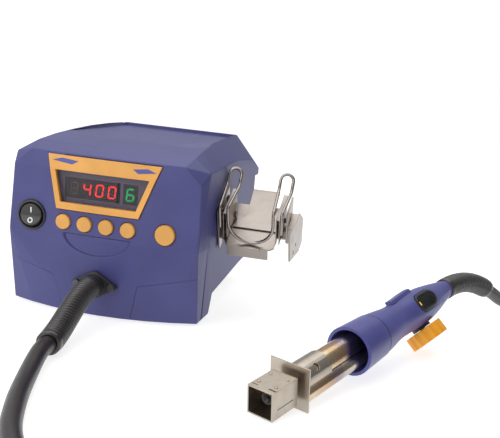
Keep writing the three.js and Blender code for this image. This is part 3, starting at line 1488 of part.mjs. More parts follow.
// Vacuum pipe with its rubber pad and rack, which the knob's pinion drives
function addVacuumLift() {
  const tube = (from, to, radius, sides = 20) =>
    rod(vector(from, pipeOffset, 0), vector(to, pipeOffset, 0), radius, sides);
  piece(vacuumLift, 'vacuum_pipe', tube(vacuumStart, vacuumEnd, vacuumRadius)
    .subtract(tube(vacuumStart - overrun, vacuumEnd + overrun, vacuumBore, 12)), steel);
  const pad = turned([
    [padPlace, padRadius], [padPlace + padLength / 3, padNeckRadius],
    [padPlace + padLength, padNeckRadius],
    [padPlace + padLength, vacuumRadius + fitGap], [vacuumStart - fitGap, vacuumRadius + fitGap],
    [vacuumStart - fitGap, vacuumBore], [padPlace + padLength / 4, vacuumBore],
    [padPlace, padRadius - padLip], [padPlace, padRadius],
  ], 16);
  piece(vacuumLift, 'vacuum_pad', pad.translate([0, pipeOffset, 0]), rubber);

  const rackTop = -(vacuumRadius + fitGap);
  const rackBottom = rackTop - rackHeight;
  const start = knobPlace - 2 * toothPitch;
  const outline = [[start, rackTop], [start, rackBottom + toothDepth]];
  for (let i = 0; i < rackTeeth; i += 1) {
    const middle = knobPlace + (i - 1) * toothPitch;
    outline.push([middle - toothRootShare * toothPitch, rackBottom + toothDepth]);
    outline.push([middle - toothTipShare * toothPitch, rackBottom]);
    outline.push([middle + toothTipShare * toothPitch, rackBottom]);
    outline.push([middle + toothRootShare * toothPitch, rackBottom + toothDepth]);
  }
  const end = knobPlace + (rackTeeth - 1) * toothPitch;
  outline.push([end, rackBottom + toothDepth]);
  outline.push([end, rackTop]);
  const rack = prism(outline, vector(0, pipeOffset + rackWidth / 2, 0), axisX, axisZ, rackWidth);
  piece(vacuumLift, 'lift_rack', rack, zinc);
  handpiece.add(vacuumLift);
}

function addKnob() {
  const knobShape = new THREE.Shape();
  const steps = knobLobes * 4;
  for (let i = 0; i < steps; i += 1) {
    const angle = (2 * Math.PI * i) / steps;
    const radius = knobRadius - knobLobeDepth * (1 - Math.cos(knobLobes * angle)) / 2;
    const point = [radius * Math.cos(angle), radius * Math.sin(angle)];
    if (i === 0) knobShape.moveTo(...point);
    else knobShape.lineTo(...point);
  }
  knobShape.closePath();
  const centre = (y) => vector(knobPlace, y, knobZ);
  let knob = prism(knobShape, centre(knobInnerY), axisX, axisZ, knobThickness, 1);
  const dishFloor = centre(knobOuterY + knobDishDepth);
  const dish = rod(dishFloor, centre(knobOuterY - overrun), knobRadius - knobRimWidth, 32)
    .subtract(rod(dishFloor, centre(knobOuterY), knobHubRadius, 24));
  knob = knob.subtract(dish);
  const boreEnd = knobOuterY + knobThickness / 3;
  knob = knob.subtract(rod(centre(knobInnerY + overrun), centre(boreEnd), knobShaftRadius + fitGap, 20));
  piece(handpiece, 'lift_knob', knob, yellow);

  const pinion = [];
  for (let i = 0; i < pinionTeeth; i += 1) {
    const middle = Math.PI / 2 + (2 * Math.PI * (i + 0.5)) / pinionTeeth;
    const pitchAngle = (2 * Math.PI) / pinionTeeth;
    const root = pitchRadius - toothDepth / 2 - toothClearance;
    const tip = pitchRadius + toothDepth / 2 - toothClearance;
    for (const [share, radius] of [
      [-toothRootShare, root], [-toothTipShare, tip], [toothTipShare, tip], [toothRootShare, root],
    ]) {
      const angle = middle + share * pitchAngle;
      pinion.push([radius * Math.cos(angle), radius * Math.sin(angle)]);
    }
  }
  const wheelSide = vector(knobPlace, pipeOffset + pinionWidth / 2, knobZ);
  const wheel = prism(pinion, wheelSide, axisX, axisZ, pinionWidth);
  const wallRadius = handleRadius(knobPlace) - handleWall;
  const inner = Math.sqrt(wallRadius ** 2 - (Math.abs(knobZ) + knobShaftRadius) ** 2);
  const shaft = rod(centre(inner - 2 * fitGap), centre(boreEnd + fitGap), knobShaftRadius, 16)
    .subtract(rod(centre(pipeOffset + pinionWidth / 2), centre(pipeOffset - pinionWidth / 2),
      knobShaftRadius * 2, 12))
    .add(rod(centre(pipeOffset + pinionWidth), centre(pipeOffset - pinionWidth),
      pitchRadius - toothDepth, 12))
    .add(wheel);
  piece(handpiece, 'knob_shaft', shaft, zinc);

  const seat = rod(centre(0), centre(seatOuterY), seatRadius, 28)
    .subtract(handleSolid(fitGap))
    .subtract(rod(centre(overrun), centre(-2 * overrun), knobShaftRadius + fitGap, 20));
  piece(handpiece, 'knob_seat', seat, black);
}

addHandleShells();
addBarrel();
addNozzle();
addVacuumLift();
addKnob();

// The handpiece lies on the bench on the lower edge of its heat shield and the rim of its knob
function restingPitch() {
  const shieldDrop = shieldWidth / 2 - pipeOffset * Math.sin(handpieceRoll);
  const sine = Math.sin(handpieceRoll);
  const cosine = Math.cos(handpieceRoll);
  const height = (pitch) => {
    const shield = shieldPlace * Math.sin(pitch) - shieldDrop * Math.cos(pitch);
    const centre = knobPlace * Math.sin(pitch) + (knobOuterY * sine + knobZ * cosine) * Math.cos(pitch);
    const rim = knobRadius * Math.hypot(Math.sin(pitch), cosine * Math.cos(pitch));
    return { shield, knob: centre - rim };
  };
  let low = 0;
  let high = Math.PI / 6;
  for (let i = 0; i < 40; i += 1) {
    const middle = (low + high) / 2;
    const { shield, knob } = height(middle);
    if (knob < shield) low = middle;
    else high = middle;
  }
  return { pitch: low, tipZ: benchGap - height(low).shield };
}

const { pitch: handpiecePitch, tipZ: handpieceTipZ } = restingPitch();
const handpieceFrame = new THREE.Matrix4()
  .makeTranslation(handpieceTipX, handpieceTipY, handpieceTipZ)
  .multiply(new THREE.Matrix4().makeRotationZ(handpieceHeading))
  .multiply(new THREE.Matrix4().makeRotationY(-handpiecePitch))
  .multiply(new THREE.Matrix4().makeRotationX(handpieceRoll));
handpieceFrame.decompose(handpiece.position, handpiece.quaternion, handpiece.scale);

// Boot at the rear of the handpiece, bending down towards the bench
const rearBootStart = vector(handleEnd + fitGap, 0, 0).applyMatrix4(handpieceFrame);
const rearBootDirection = axisX.clone().transformDirection(handpieceFrame);
const rearBootEndDirection = vector(
  Math.cos(rearBootHeading) * Math.cos(rearBootSlope), Math.sin(rearBootHeading) * Math.cos(rearBootSlope),
  -Math.sin(rearBootSlope),
);
const rearBootEnd = rearBootStart.clone().addScaledVector(
  rearBootDirection.clone().add(rearBootEndDirection).normalize(), bootLength * bootChordShare,
);
const rearBootCurve = new THREE.CubicBezierCurve3(
  rearBootStart,
  rearBootStart.clone().addScaledVector(rearBootDirection, bootLength * bootBendShare),
  rearBootEnd.clone().addScaledVector(rearBootEndDirection, -bootLength * bootBendShare),
  rearBootEnd,
);

// Hose from the station's boot to the handpiece's boot, lying on the bench
const stationBootDirection = stationBootCurve.getTangentAt(1);
const hoseStart = stationBootEnd.clone().addScaledVector(stationBootDirection, fitGap);
const hoseEnd = rearBootEnd.clone().addScaledVector(rearBootEndDirection, fitGap);
// Places that the hose passes, with how high its underside lies above the bench
const hosePlaces = [
  [12.6, -246, 0.3],
  [26.5, -286, 0.2],
  [42, -318, 0.2],
  [70, -350, 0.2],
  [114, -371, 0.2],
  [170, -378, 0.2],
  [235, -377, 0.2],
  [300, -364, 0.2],
  [358, -333, 0.2],
  [402, -284, 0.2],
  [428, -224, 0.2],
  [441, -158, 0.2],
  [445, -92, 0.2],
  [445.5, -28, 0.2],
  [444.3, 43, 0.2],
  [436.7, 71.5, 0.2],
  [415.8, 92.4, 0.2],
  [387.3, 100, 1],
  [360.6, 93.4, 4.5],
  [342.4, 78.1, 10],
];
const leadIn = 2 * hoseRadius;
const hoseCurve = new THREE.CatmullRomCurve3([
  hoseStart,
  hoseStart.clone().addScaledVector(stationBootDirection, leadIn),
  ...hosePlaces.map(([x, y, lift]) => vector(x, y, hoseRadius + lift)),
  hoseEnd.clone().addScaledVector(rearBootEndDirection, leadIn),
  hoseEnd,
], false, 'centripetal');
const hoseSteps = 42;
const hoseSides = 8;

function hoseSolid() {
  const section = new THREE.Shape();
  for (let i = 0; i < hoseSides; i += 1) {
    const angle = (2 * Math.PI * i) / hoseSides;
    const point = [hoseRadius * Math.cos(angle), hoseRadius * Math.sin(angle)];
    if (i === 0) section.moveTo(...point);
    else section.lineTo(...point);
  }
  section.closePath();
  return new THREE.ExtrudeGeometry(section, {
    steps: hoseSteps, extrudePath: hoseCurve, bevelEnabled: false,
  });
}

piece(station, 'handpiece_boot', ribbedBoot(rearBootCurve, hoseRadius + fitGap), rubber);
piece(station, 'hose', hoseSolid(), rubber);
console.log(`hose length ${hoseCurve.getLength().toFixed(0)} mm`);

const root = new THREE.Group();
rest.add(cradle);
root.add(station, rest, handpiece);

// The origin is under the middle of the station, rest and handpiece, without the hose
root.updateMatrixWorld(true);
const extent = new THREE.Box3();
root.traverse((node) => {
  if (node.isMesh && !['hose', 'handpiece_boot'].includes(node.name)) extent.expandByObject(node, true);
});
const middle = extent.getCenter(new THREE.Vector3());
root.position.set(-middle.x, -middle.y, -extent.min.z);

export default root;
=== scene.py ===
"""Dresses a packed hot air rework station: its finishes, fine pieces, hose, light and camera."""

import math

import bmesh
import bpy
from mathutils import Matrix, Vector
from mathutils.bvhtree import BVHTree


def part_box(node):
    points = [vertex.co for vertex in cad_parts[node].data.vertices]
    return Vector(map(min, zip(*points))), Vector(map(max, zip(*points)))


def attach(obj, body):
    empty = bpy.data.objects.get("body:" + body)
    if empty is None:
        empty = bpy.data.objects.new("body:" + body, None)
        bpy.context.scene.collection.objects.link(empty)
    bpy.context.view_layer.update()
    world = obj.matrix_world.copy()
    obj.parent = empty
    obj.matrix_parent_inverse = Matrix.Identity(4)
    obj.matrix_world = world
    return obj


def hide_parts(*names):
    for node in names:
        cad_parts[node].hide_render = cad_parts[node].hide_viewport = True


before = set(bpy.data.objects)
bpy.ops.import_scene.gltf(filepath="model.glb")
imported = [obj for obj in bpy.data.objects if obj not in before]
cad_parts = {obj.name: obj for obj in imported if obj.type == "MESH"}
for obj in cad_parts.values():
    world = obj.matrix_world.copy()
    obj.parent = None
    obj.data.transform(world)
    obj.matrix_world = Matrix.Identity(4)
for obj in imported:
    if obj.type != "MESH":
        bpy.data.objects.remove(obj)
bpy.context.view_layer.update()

bl_info = {
    "name": "Hot Air Rework Station",
    "version": (1, 0, 0),
    "blender": (4, 5, 0),
    "location": "View3D > Sidebar > Hot Air",
    "description": "Finishes and fine pieces of a hot air rework station",
    "category": "Object",
}

mm = 0.001


# Shader expressions


class Signal:
    """One output socket of a node tree, with its maths written as Python."""

    def __init__(self, tree, socket):
        self.tree = tree
        self.socket = socket

    def math(self, operation, first, second):
        return add_node(self.tree, "ShaderNodeMath", {"operation": operation}, {0: first, 1: second})

    def __add__(self, other):
        return self.math("ADD", self, other)

    __radd__ = __add__

    def __sub__(self, other):
        return self.math("SUBTRACT", self, other)

    def __rsub__(self, other):
        return self.math("SUBTRACT", other, self)

    def __mul__(self, other):
        return self.math("MULTIPLY", self, other)

    __rmul__ = __mul__

    def least(self, other):
        return self.math("MINIMUM", self, other)

    def power(self, other):
        return self.math("POWER", self, other)


def add_node(tree, kind, settings=None, sockets=None, output=0):
    """Adds a node, sets its settings first and its sockets next, and gives one of its outputs."""
    node = tree.nodes.new(kind)
    for name, value in (settings or {}).items():
        if name == "stops":
            elements = node.color_ramp.elements
            while len(elements) < len(value):
                elements.new(1)
            for element, (place, colour) in zip(elements, value):
                element.position = place
                element.color = (*colour, 1)
        else:
            setattr(node, name, value)
    for name, value in (sockets or {}).items():
        if isinstance(value, Signal):
            tree.links.new(value.socket, node.inputs[name])
        else:
            node.inputs[name].default_value = value
    return Signal(tree, node.outputs[output])


class Finish:
    """A material whose surface is built from object coordinates."""

    def __init__(self, name):
        self.material = bpy.data.materials.new(name)
        self.material.use_nodes = True
        self.tree = self.material.node_tree
        self.tree.nodes.clear()
        self.place = self.node("ShaderNodeTexCoord", output="Object")

    def node(self, kind, settings=None, sockets=None, output=0):
        return add_node(self.tree, kind, settings, sockets, output)

    def noise(self, size, detail=3, stretch=(1, 1, 1), roughness=0.5):
        """Noise from 0 to 1 whose grains are about size metres wide."""
        where = self.node("ShaderNodeMapping", None, {"Vector": self.place, "Scale": stretch})
        return self.node("ShaderNodeTexNoise", None,
                         {"Vector": where, "Scale": 1 / size, "Detail": detail, "Roughness": roughness})

    def ramp(self, signal, stops, output=0):
        return self.node("ShaderNodeValToRGB", {"stops": stops}, {"Fac": signal}, output)

    def band(self, signal, low, high):
        """0 at low, 1 at high, smooth between them."""
        return self.node("ShaderNodeMapRange", {"interpolation_type": "SMOOTHSTEP"},
                         {"Value": signal, "From Min": low, "From Max": high})

    def mix(self, share, first, second):
        """A colour between two others."""
        return self.node("ShaderNodeMix", {"data_type": "RGBA"},
                         {0: share, 6: colour(first), 7: colour(second)}, 2)

    def surface(self, base, rough=0.5, metal=0.0, bump=None, depth=0.1 * mm, **constants):
        """Ends the tree in one principled shader; constants are its unchanging sockets."""
        sockets = {"Base Color": colour(base), "Roughness": rough, "Metallic": metal}
        sockets.update({name.replace("_", " "): value for name, value in constants.items()})
        if bump is not None:
            sockets["Normal"] = self.node("ShaderNodeBump", None,
                                          {"Height": bump, "Distance": depth, "Strength": 1.0})
        shader = self.node("ShaderNodeBsdfPrincipled", None, sockets)
        end = self.tree.nodes.new("ShaderNodeOutputMaterial")
        self.tree.links.new(shader.socket, end.inputs["Surface"])
        return self.material


def colour(value):
    """A colour with its alpha, or the signal that stands for one."""
    return value if isinstance(value, Signal) else (*value[:3], 1.0)


# Places and common tools

housing_low, housing_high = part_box("housing_shell")
rear_lip = 108.95 * mm
station_origin = Vector(((housing_low.x + housing_high.x) / 2, housing_high.y - rear_lip, 0))


def station(x, y, z):
    """A point of the station's own frame, given in millimetres."""
    return station_origin + Vector((x, y, z)) * mm


def dress(piece, body, slot, finish, *nodes):
    """Puts a piece on its body, gives it its finish and hides the nodes that it stands for."""
    piece.data.materials.clear()
    piece.data.materials.append(finish)
    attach(piece, body)
    if nodes:
        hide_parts(*nodes)
    return piece


def coat(finish, *nodes):
    """Gives CAD nodes a finish."""
    for name in nodes:
        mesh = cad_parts[name].data
        mesh.materials.clear()
        mesh.materials.append(finish)


def object_from(form, name, smooth=35):
    """A mesh object from a bmesh, with its faces turned out and its sharp edges kept."""
    bmesh.ops.recalc_face_normals(form, faces=form.faces)
    mesh = bpy.data.meshes.new(name)
    form.to_mesh(mesh)
    form.free()
    piece = bpy.data.objects.new(name, mesh)
    bpy.context.collection.objects.link(piece)
    mesh.shade_smooth()
    mesh.set_sharp_from_angle(angle=math.radians(smooth))
    return piece


def refined(node, name, width=0.3 * mm, smooth=32, flat=False):
    """A copy of a CAD node with its points merged, its flat faces joined and its edges rounded."""
    form = bmesh.new()
    form.from_mesh(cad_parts[node].data)
    bmesh.ops.remove_doubles(form, verts=form.verts, dist=0.005 * mm)
    bmesh.ops.dissolve_limit(form, angle_limit=math.radians(0.6), verts=form.verts, edges=form.edges)
    piece = object_from(form, name, smooth)
    if width:
        edge = piece.modifiers.new("rounded edges", "BEVEL")
        edge.width = width
        edge.segments = 2
        edge.use_clamp_overlap = False
        edge.limit_method = "ANGLE"
        edge.angle_limit = math.radians(smooth)
        edge.harden_normals = flat
    return piece


def turned(form, profile, turn, steps=48):
    """Spins a profile of (place along X, radius) pairs round the X axis, moved by turn."""
    points = [form.verts.new((along, radius, 0)) for along, radius in profile]
    edges = [form.edges.new(pair) for pair in zip(points, points[1:])]
    bmesh.ops.spin(form, geom=points + edges, cent=(0, 0, 0), axis=(1, 0, 0), dvec=(0, 0, 0),
                   angle=2 * math.pi, steps=steps, use_merge=True)
    bmesh.ops.remove_doubles(form, verts=form.verts, dist=1e-6)
    bmesh.ops.transform(form, matrix=turn, verts=form.verts)


def plate(form, corners, turn, thickness):
    """A flat plate from corners in a plane, thickened along the plane's third axis and moved by turn."""
    face = form.faces.new([form.verts.new((across, up, 0)) for across, up in corners])
    grown = bmesh.ops.extrude_face_region(form, geom=[face])["geom"]
    moved = [part for part in grown if isinstance(part, bmesh.types.BMVert)]
    bmesh.ops.translate(form, vec=(0, 0, thickness), verts=moved)
    bmesh.ops.transform(form, matrix=turn, verts=list(face.verts) + moved)


def front_turn(x, y, z):
    """Sets a shape drawn in X and Y on the station's front, with its third axis towards the viewer."""
    return Matrix.Translation(station(x, y, z)) @ Matrix.Rotation(math.radians(90), 4, "X")


# The handpiece's own frame: X runs back along its axis from the nozzle's mouth

hand_tip = station(158, -240, 9.008)
hand_heading, hand_pitch, hand_roll = math.radians(62), math.radians(7.7282), math.radians(42)
hand_turn = (Matrix.Translation(hand_tip) @ Matrix.Rotation(hand_heading, 4, "Z")
             @ Matrix.Rotation(-hand_pitch, 4, "Y") @ Matrix.Rotation(hand_roll, 4, "X"))
nozzle_turn = hand_turn @ Matrix.Translation((0, 3 * mm, 0)) @ Matrix.Rotation(math.radians(-42), 4, "X")


# Sizes and colours that a user would change


def tint(name, description, default):
    return bpy.props.FloatVectorProperty(
        name=name, description=description, default=default, size=3, subtype="COLOR", min=0, max=1,
    )


def length(name, description, default):
    return bpy.props.FloatProperty(
        name=name, description=description, default=default, unit="LENGTH", subtype="DISTANCE", precision=4,
    )


def angle(name, description, default):
    return bpy.props.FloatProperty(
        name=name, description=description, default=math.radians(default), unit="ROTATION", subtype="ANGLE",
    )


class StationColours(bpy.types.PropertyGroup):
    """Colours of the station, its handpiece and their fittings."""

    housing: tint("Housing", "Moulded blue of the station", (0.045, 0.046, 0.185))
    handle: tint("Handle", "Moulded blue of the handpiece", (0.066, 0.069, 0.262))
    bezel: tint("Bezel", "Printed yellow round the display", (0.7, 0.335, 0.065))
    buttons: tint("Buttons", "Yellow of the panel's buttons", (0.68, 0.335, 0.07))
    knob: tint("Knob", "Yellow of the lift knob", (0.88, 0.36, 0.012))
    plastic: tint("Black plastic", "Switch, flange, inlet and window frame", (0.012, 0.012, 0.013))
    rubber: tint("Rubber", "Boots, feet and hose", (0.014, 0.012, 0.011))
    steel: tint("Stainless steel", "Rest and nozzle", (0.325, 0.288, 0.262))
    red_light: tint("Red digits", "Lit segments of the temperature", (0.9, 0.02, 0.015))
    green_light: tint("Green digit", "Lit segments of the air setting", (0.0, 0.5, 0.14))


class StationSizes(bpy.types.PropertyGroup):
    """Sizes of the fine pieces and the camera's place."""

    hose_diameter: length("Hose diameter", "Outer diameter of the air hose", 12 * mm)
    hose_length: length("Hose length", "Length of the air hose between its boots", 1053 * mm)
    digit_height: length("Digit height", "Height of a display digit", 10.4 * mm)
    digit_pitch: length("Digit pitch", "From one display digit to the next", 10.2 * mm)
    view_turn: angle("View turn", "How far round to the right the camera stands", 8.31)
    view_rise: angle("View rise", "How far the camera looks down", 13.16)
    view_roll: angle("View roll", "How far the camera leans", 6.23)
    view_distance: length("View distance", "From the camera to the middle of the object", 643.98 * mm)


def colours():
    return bpy.context.scene.station_colours


def sizes():
    return bpy.context.scene.station_sizes


# Finishes


def moulded(name, base, rough=0.42, grain=0.35 * mm, depth=0.012 * mm, dust=0.06):
    """Moulded plastic: fine grain, faint clouding, dust that lies on it and rubbed patches."""
    finish = Finish(name)
    cloud = finish.noise(38 * mm, 4)
    grains = finish.noise(grain, 2, roughness=0.6)
    speck = finish.noise(1.6 * mm, 5, roughness=0.7)
    light = [min(1, part * 1.1 + 0.012) for part in base]
    dark = [part * 0.92 for part in base]
    grey = [part * 0.8 + 0.1 for part in base]
    body = finish.mix(finish.band(cloud, 0.3, 0.7), dark, light)
    dusty = finish.band(speck, 0.62, 0.8) * dust
    shade = finish.mix(dusty, body, grey)
    gloss = rough + (cloud - 0.5) * 0.12 + dusty * 1.2
    return finish.surface(shade, gloss, 0, grains, depth, Coat_Roughness=0.3, IOR=1.5)


# Shallow forms of the station's front, in millimetres, which are bump and not geometry

scallop_middle, scallop_top = -3.2, 66.4
scallop_half_width, scallop_height, scallop_depth = 28, 16, 2.4
panel_depth = 0.9
fold_height, lower_lean = 63, 0.13


def scored_housing(base):
    """The housing's plastic, with the shallow forms of its front bumped into it and painted shade darkening
    the scallop's bowl.
    """
    finish = Finish("housing_moulding")
    across = finish.node("ShaderNodeSeparateXYZ", None, {"Vector": finish.place}, 0) - station_origin.x
    deep = finish.node("ShaderNodeSeparateXYZ", None, {"Vector": finish.place}, 1) - station_origin.y
    up = finish.node("ShaderNodeSeparateXYZ", None, {"Vector": finish.place}, 2)
    facing = finish.band(deep, -80 * mm, -84 * mm)
    below = scallop_top * mm - up
    wide = (across - scallop_middle * mm) * (1 / (scallop_half_width * mm))
    tall = below * (1 / (scallop_height * mm))
    oval = (wide * wide + tall * tall).power(0.5)
    bowl = finish.band(oval, 1.02, 0.9) * finish.band(below, 0, 0.7 * mm)
    slanted_left = up * 0.35 + across
    panel_left = finish.band(slanted_left, -27 * mm, -28 * mm) * finish.band(
        up + (across + 78.5 * mm) * 0.24, 41 * mm, 40 * mm)
    slanted_right = across - up * 0.16
    panel_right = finish.band(slanted_right, 26.6 * mm, 27.6 * mm) * finish.band(
        up - (across - 32 * mm) * 0.24, 31 * mm, 30 * mm)
    lower_face = (up - fold_height * mm).least(0) * (lower_lean / mm)
    relief = (bowl * -scallop_depth - (panel_left + panel_right) * panel_depth + lower_face) * facing
    grains = finish.noise(0.35 * mm, 2, roughness=0.6)
    cloud = finish.noise(45 * mm, 4)
    speck = finish.noise(1.8 * mm, 5, roughness=0.7)
    dust = finish.band(speck, 0.62, 0.82) * 0.05
    dark = [part * 0.93 for part in base]
    light = [part * 1.08 + 0.006 for part in base]
    shade = finish.mix(finish.band(cloud, 0.3, 0.7), dark, light)
    # Dust and a painted shade in the scallop's bowl, a recess, both darken the plastic here.
    shade = finish.mix(dust + bowl * facing * 0.12, shade, [c * 0.7 for c in base])
    gloss = 0.5 + (cloud - 0.5) * 0.1 + dust
    return finish.surface(shade, gloss, 0, relief + grains * 0.012, 1.0 * mm, Coat_Weight=0.04,
                          Coat_Roughness=0.3)


def brushed(name, base, stretch, rough=0.3, depth=0.01 * mm, stain=0.25):
    """Rolled sheet steel with fine lines, faint stains and handling marks."""
    finish = Finish(name)
    lines = finish.noise(0.5 * mm, 3, stretch, 0.65)
    stains = finish.noise(14 * mm, 4, roughness=0.6)
    specks = finish.noise(2.2 * mm, 6, roughness=0.75)
    warm = [base[0] * 0.82, base[1] * 0.74, base[2] * 0.64]
    shade = finish.mix(finish.band(stains, 0.42, 0.75) * stain, base, warm)
    shade = finish.mix(finish.band(specks, 0.66, 0.8) * 0.35, shade, [part * 0.5 for part in base])
    gloss = rough + (lines - 0.5) * 0.2 + finish.band(stains, 0.4, 0.8) * 0.1
    return finish.surface(shade, gloss, 1, lines, depth)


def heat_tinted(name, base, straw_at, blue_at):
    """Polished pipe: straw, brown and violet bands of heat along the handpiece's axis."""
    finish = Finish(name)
    axis = hand_turn.col[0].xyz
    start = hand_turn.translation
    along = finish.node("ShaderNodeVectorMath", {"operation": "SUBTRACT"}, {0: finish.place, 1: start})
    place = finish.node("ShaderNodeVectorMath", {"operation": "DOT_PRODUCT"}, {0: along, 1: axis}, 1)
    wander = finish.noise(11 * mm, 4)
    streak = finish.noise(0.7 * mm, 3, (1, 1, 1), 0.6)
    heat = finish.band(place + (wander - 0.5) * (26 * mm), straw_at * mm, blue_at * mm)
    shade = finish.ramp(heat, [
        (0.0, base), (0.3, (0.62, 0.5, 0.34)), (0.52, (0.5, 0.33, 0.2)),
        (0.7, (0.34, 0.26, 0.28)), (0.86, (0.5, 0.44, 0.38)), (1.0, base),
    ])
    soot = finish.band(finish.noise(5 * mm, 6, roughness=0.7), 0.6, 0.8) * 0.3
    shade = finish.mix(soot, shade, (0.2, 0.15, 0.11))
    return finish.surface(shade, 0.2 + (streak - 0.5) * 0.14 + soot * 0.5, 1, streak, 0.0015 * mm)


def rubbery(name, base, rough=0.5, grain=0.5 * mm, depth=0.03 * mm, coat=0.0):
    """Moulded rubber with a skin that is duller where it was handled."""
    finish = Finish(name)
    skin = finish.noise(grain, 3, roughness=0.6)
    bloom = finish.noise(9 * mm, 4)
    shade = finish.mix(finish.band(bloom, 0.35, 0.8) * 0.5, base, [part * 1.5 + 0.012 for part in base])
    return finish.surface(shade, rough + (bloom - 0.5) * 0.2, 0, skin, depth, Coat_Weight=coat,
                          Coat_Roughness=0.25)


def lit(name, base, strength):
    """A lit display segment, its brightness a little uneven."""
    finish = Finish(name)
    flow = finish.noise(3 * mm, 2)
    shade = finish.mix(finish.band(flow, 0.3, 0.7), [part * 0.75 for part in base], base)
    return finish.surface(shade, 0.3, 0, Emission_Color=shade, Emission_Strength=strength)


def clear(name, base, alpha, rough=0.08):
    """Tinted clear plastic with faint smears."""
    finish = Finish(name)
    smear = finish.noise(12 * mm, 5, (1, 1, 3))
    return finish.surface(base, rough + finish.band(smear, 0.45, 0.8) * 0.08, 0,
                          finish.noise(20 * mm, 2), 0.02 * mm, Alpha=alpha)


def painted(name, base, rough=0.45):
    """Printed ink with worn edges in its grain."""
    finish = Finish(name)
    wear = finish.noise(0.9 * mm, 4, roughness=0.7)
    shade = finish.mix(finish.band(wear, 0.6, 0.8) * 0.2, base, [part * 1.3 + 0.03 for part in base])
    return finish.surface(shade, rough + (wear - 0.5) * 0.1, 0, wear, 0.005 * mm)


finishes = {}


def finish_of(name, make):
    """Makes a finish once, and gives it again after that."""
    if name not in finishes:
        finishes[name] = make()
    return finishes[name]


def black_plastic():
    return finish_of("black_moulding", lambda: moulded("black_moulding", colours().plastic, 0.38, dust=0.03))


def stainless(direction="across"):
    stretch = {"across": (0.03, 1, 1), "deep": (1, 0.03, 1), "upright": (1, 1, 0.03)}[direction]
    name = "brushed_steel_" + direction
    return finish_of(name, lambda: brushed(name, colours().steel, stretch))


def soft_rubber():
    return finish_of("moulded_rubber", lambda: rubbery("moulded_rubber", colours().rubber, 0.5, coat=0.2))


def zinc_plate():
    return finish_of("zinc_plate", lambda: brushed("zinc_plate", (0.46, 0.47, 0.48), (0.3, 1, 1), 0.36))


def handle_plastic():
    return finish_of("handle_moulding", lambda: moulded("handle_moulding", colours().handle, 0.34))


# Operators


class STATION_OT_stage(bpy.types.Operator):
    """Adds the pale floor, the soft lights and the camera"""

    bl_idname = "hot_air.stage"
    bl_label = "Stage"

    def execute(self, context):
        form = bmesh.new()
        bmesh.ops.create_grid(form, x_segments=4, y_segments=4, size=6)
        bmesh.ops.translate(form, vec=(0, 0, -0.05 * mm), verts=form.verts)
        floor = object_from(form, "floor")
        paper = Finish("pale_floor")
        fibre = paper.noise(60 * mm, 3)
        shade = paper.mix(fibre, (0.45, 0.45, 0.445), (0.47, 0.47, 0.47))
        floor.data.materials.append(paper.surface(shade, 0.75, 0, fibre, 0.02 * mm, Emission_Strength=0.75,
                                                  Emission_Color=(1, 1, 1, 1)))
        self.add_room(context)
        context.scene.view_settings.view_transform = "Standard"
        self.add_light("key_light", (-0.8, -1.3, 1.0), 1.5, 12.5)
        self.add_light("top_light", (-0.1, 0.5, 1.9), 2.6, 25)
        self.add_camera(context)
        return {"FINISHED"}

    def add_room(self, context):
        """A white room to look at, which casts most of its light from the left."""
        room = bpy.data.worlds.new("soft_room")
        room.use_nodes = True
        tree = room.node_tree
        tree.nodes.clear()
        white = (1, 1, 1, 1)
        seen = add_node(tree, "ShaderNodeBackground", None, {"Color": white, "Strength": 1.0})
        way = add_node(tree, "ShaderNodeTexCoord")
        to_right = add_node(tree, "ShaderNodeSeparateXYZ", None, {"Vector": way})
        strength = 0.52 - to_right * 0.34
        cast = add_node(tree, "ShaderNodeBackground", None, {"Color": white, "Strength": strength})
        looked_at = add_node(tree, "ShaderNodeLightPath")
        both = add_node(tree, "ShaderNodeMixShader", None, {0: looked_at, 1: cast, 2: seen})
        end = tree.nodes.new("ShaderNodeOutputWorld")
        tree.links.new(both.socket, end.inputs["Surface"])
        context.scene.world = room

    def add_light(self, name, place, size, power):
        lamp = bpy.data.lights.new(name, "AREA")
        lamp.shape = "DISK"
        lamp.size = size
        lamp.energy = power
        light = bpy.data.objects.new(name, lamp)
        bpy.context.collection.objects.link(light)
        away = Vector(place)
        aim = (station(114, 0, 60) - away).to_track_quat("-Z", "Y")
        light.matrix_world = Matrix.Translation(away) @ aim.to_matrix().to_4x4()

    def add_camera(self, context):
        given = sizes()
        turn, rise, roll = given.view_turn, given.view_rise, given.view_roll
        back = Vector((math.sin(turn) * math.cos(rise), -math.cos(turn) * math.cos(rise), math.sin(rise)))
        right = Vector((0, 0, 1)).cross(back).normalized()
        above = back.cross(right)
        leaning = right * math.cos(roll) + above * math.sin(roll)
        upright = above * math.cos(roll) - right * math.sin(roll)
        eye = bpy.data.cameras.new("photo_camera")
        eye.sensor_width = 36
        eye.lens = 50.603
        eye.shift_x = -0.03006
        eye.shift_y = 0.08178
        eye.clip_start = 0.01
        camera = bpy.data.objects.new("photo_camera", eye)
        context.collection.objects.link(camera)
        place = station(114.91, 0, 41.08) + back * given.view_distance
        turned_to = Matrix((leaning, upright, back)).transposed().to_4x4()
        camera.matrix_world = Matrix.Translation(place) @ turned_to
        context.scene.camera = camera


# Route of the hose over the bench, in millimetres of the station's frame

hose_route = (
    (3.33, -200.77, 9.6), (4.5, -212.71, 9.6), (12.6, -246, 6.3), (26.5, -286, 6.2), (42, -318, 6.2),
    (70, -350, 6.2), (114, -371, 6.2), (170, -378, 6.2), (235, -377, 6.2), (300, -364, 6.2),
    (358, -333, 6.2), (402, -284, 6.2), (428, -224, 6.2), (441, -158, 6.2), (445, -92, 6.2),
    (445.5, -28, 6.2), (444.3, 43, 6.2), (436.7, 71.5, 6.2), (415.8, 92.4, 6.2), (387.3, 100, 7),
    (360.6, 93.4, 10.5), (342.4, 78.1, 16), (326.41, 57.64, 27.64), (319.56, 48.87, 32.14),
)

# The ribbed boots, in millimetres of the station's frame

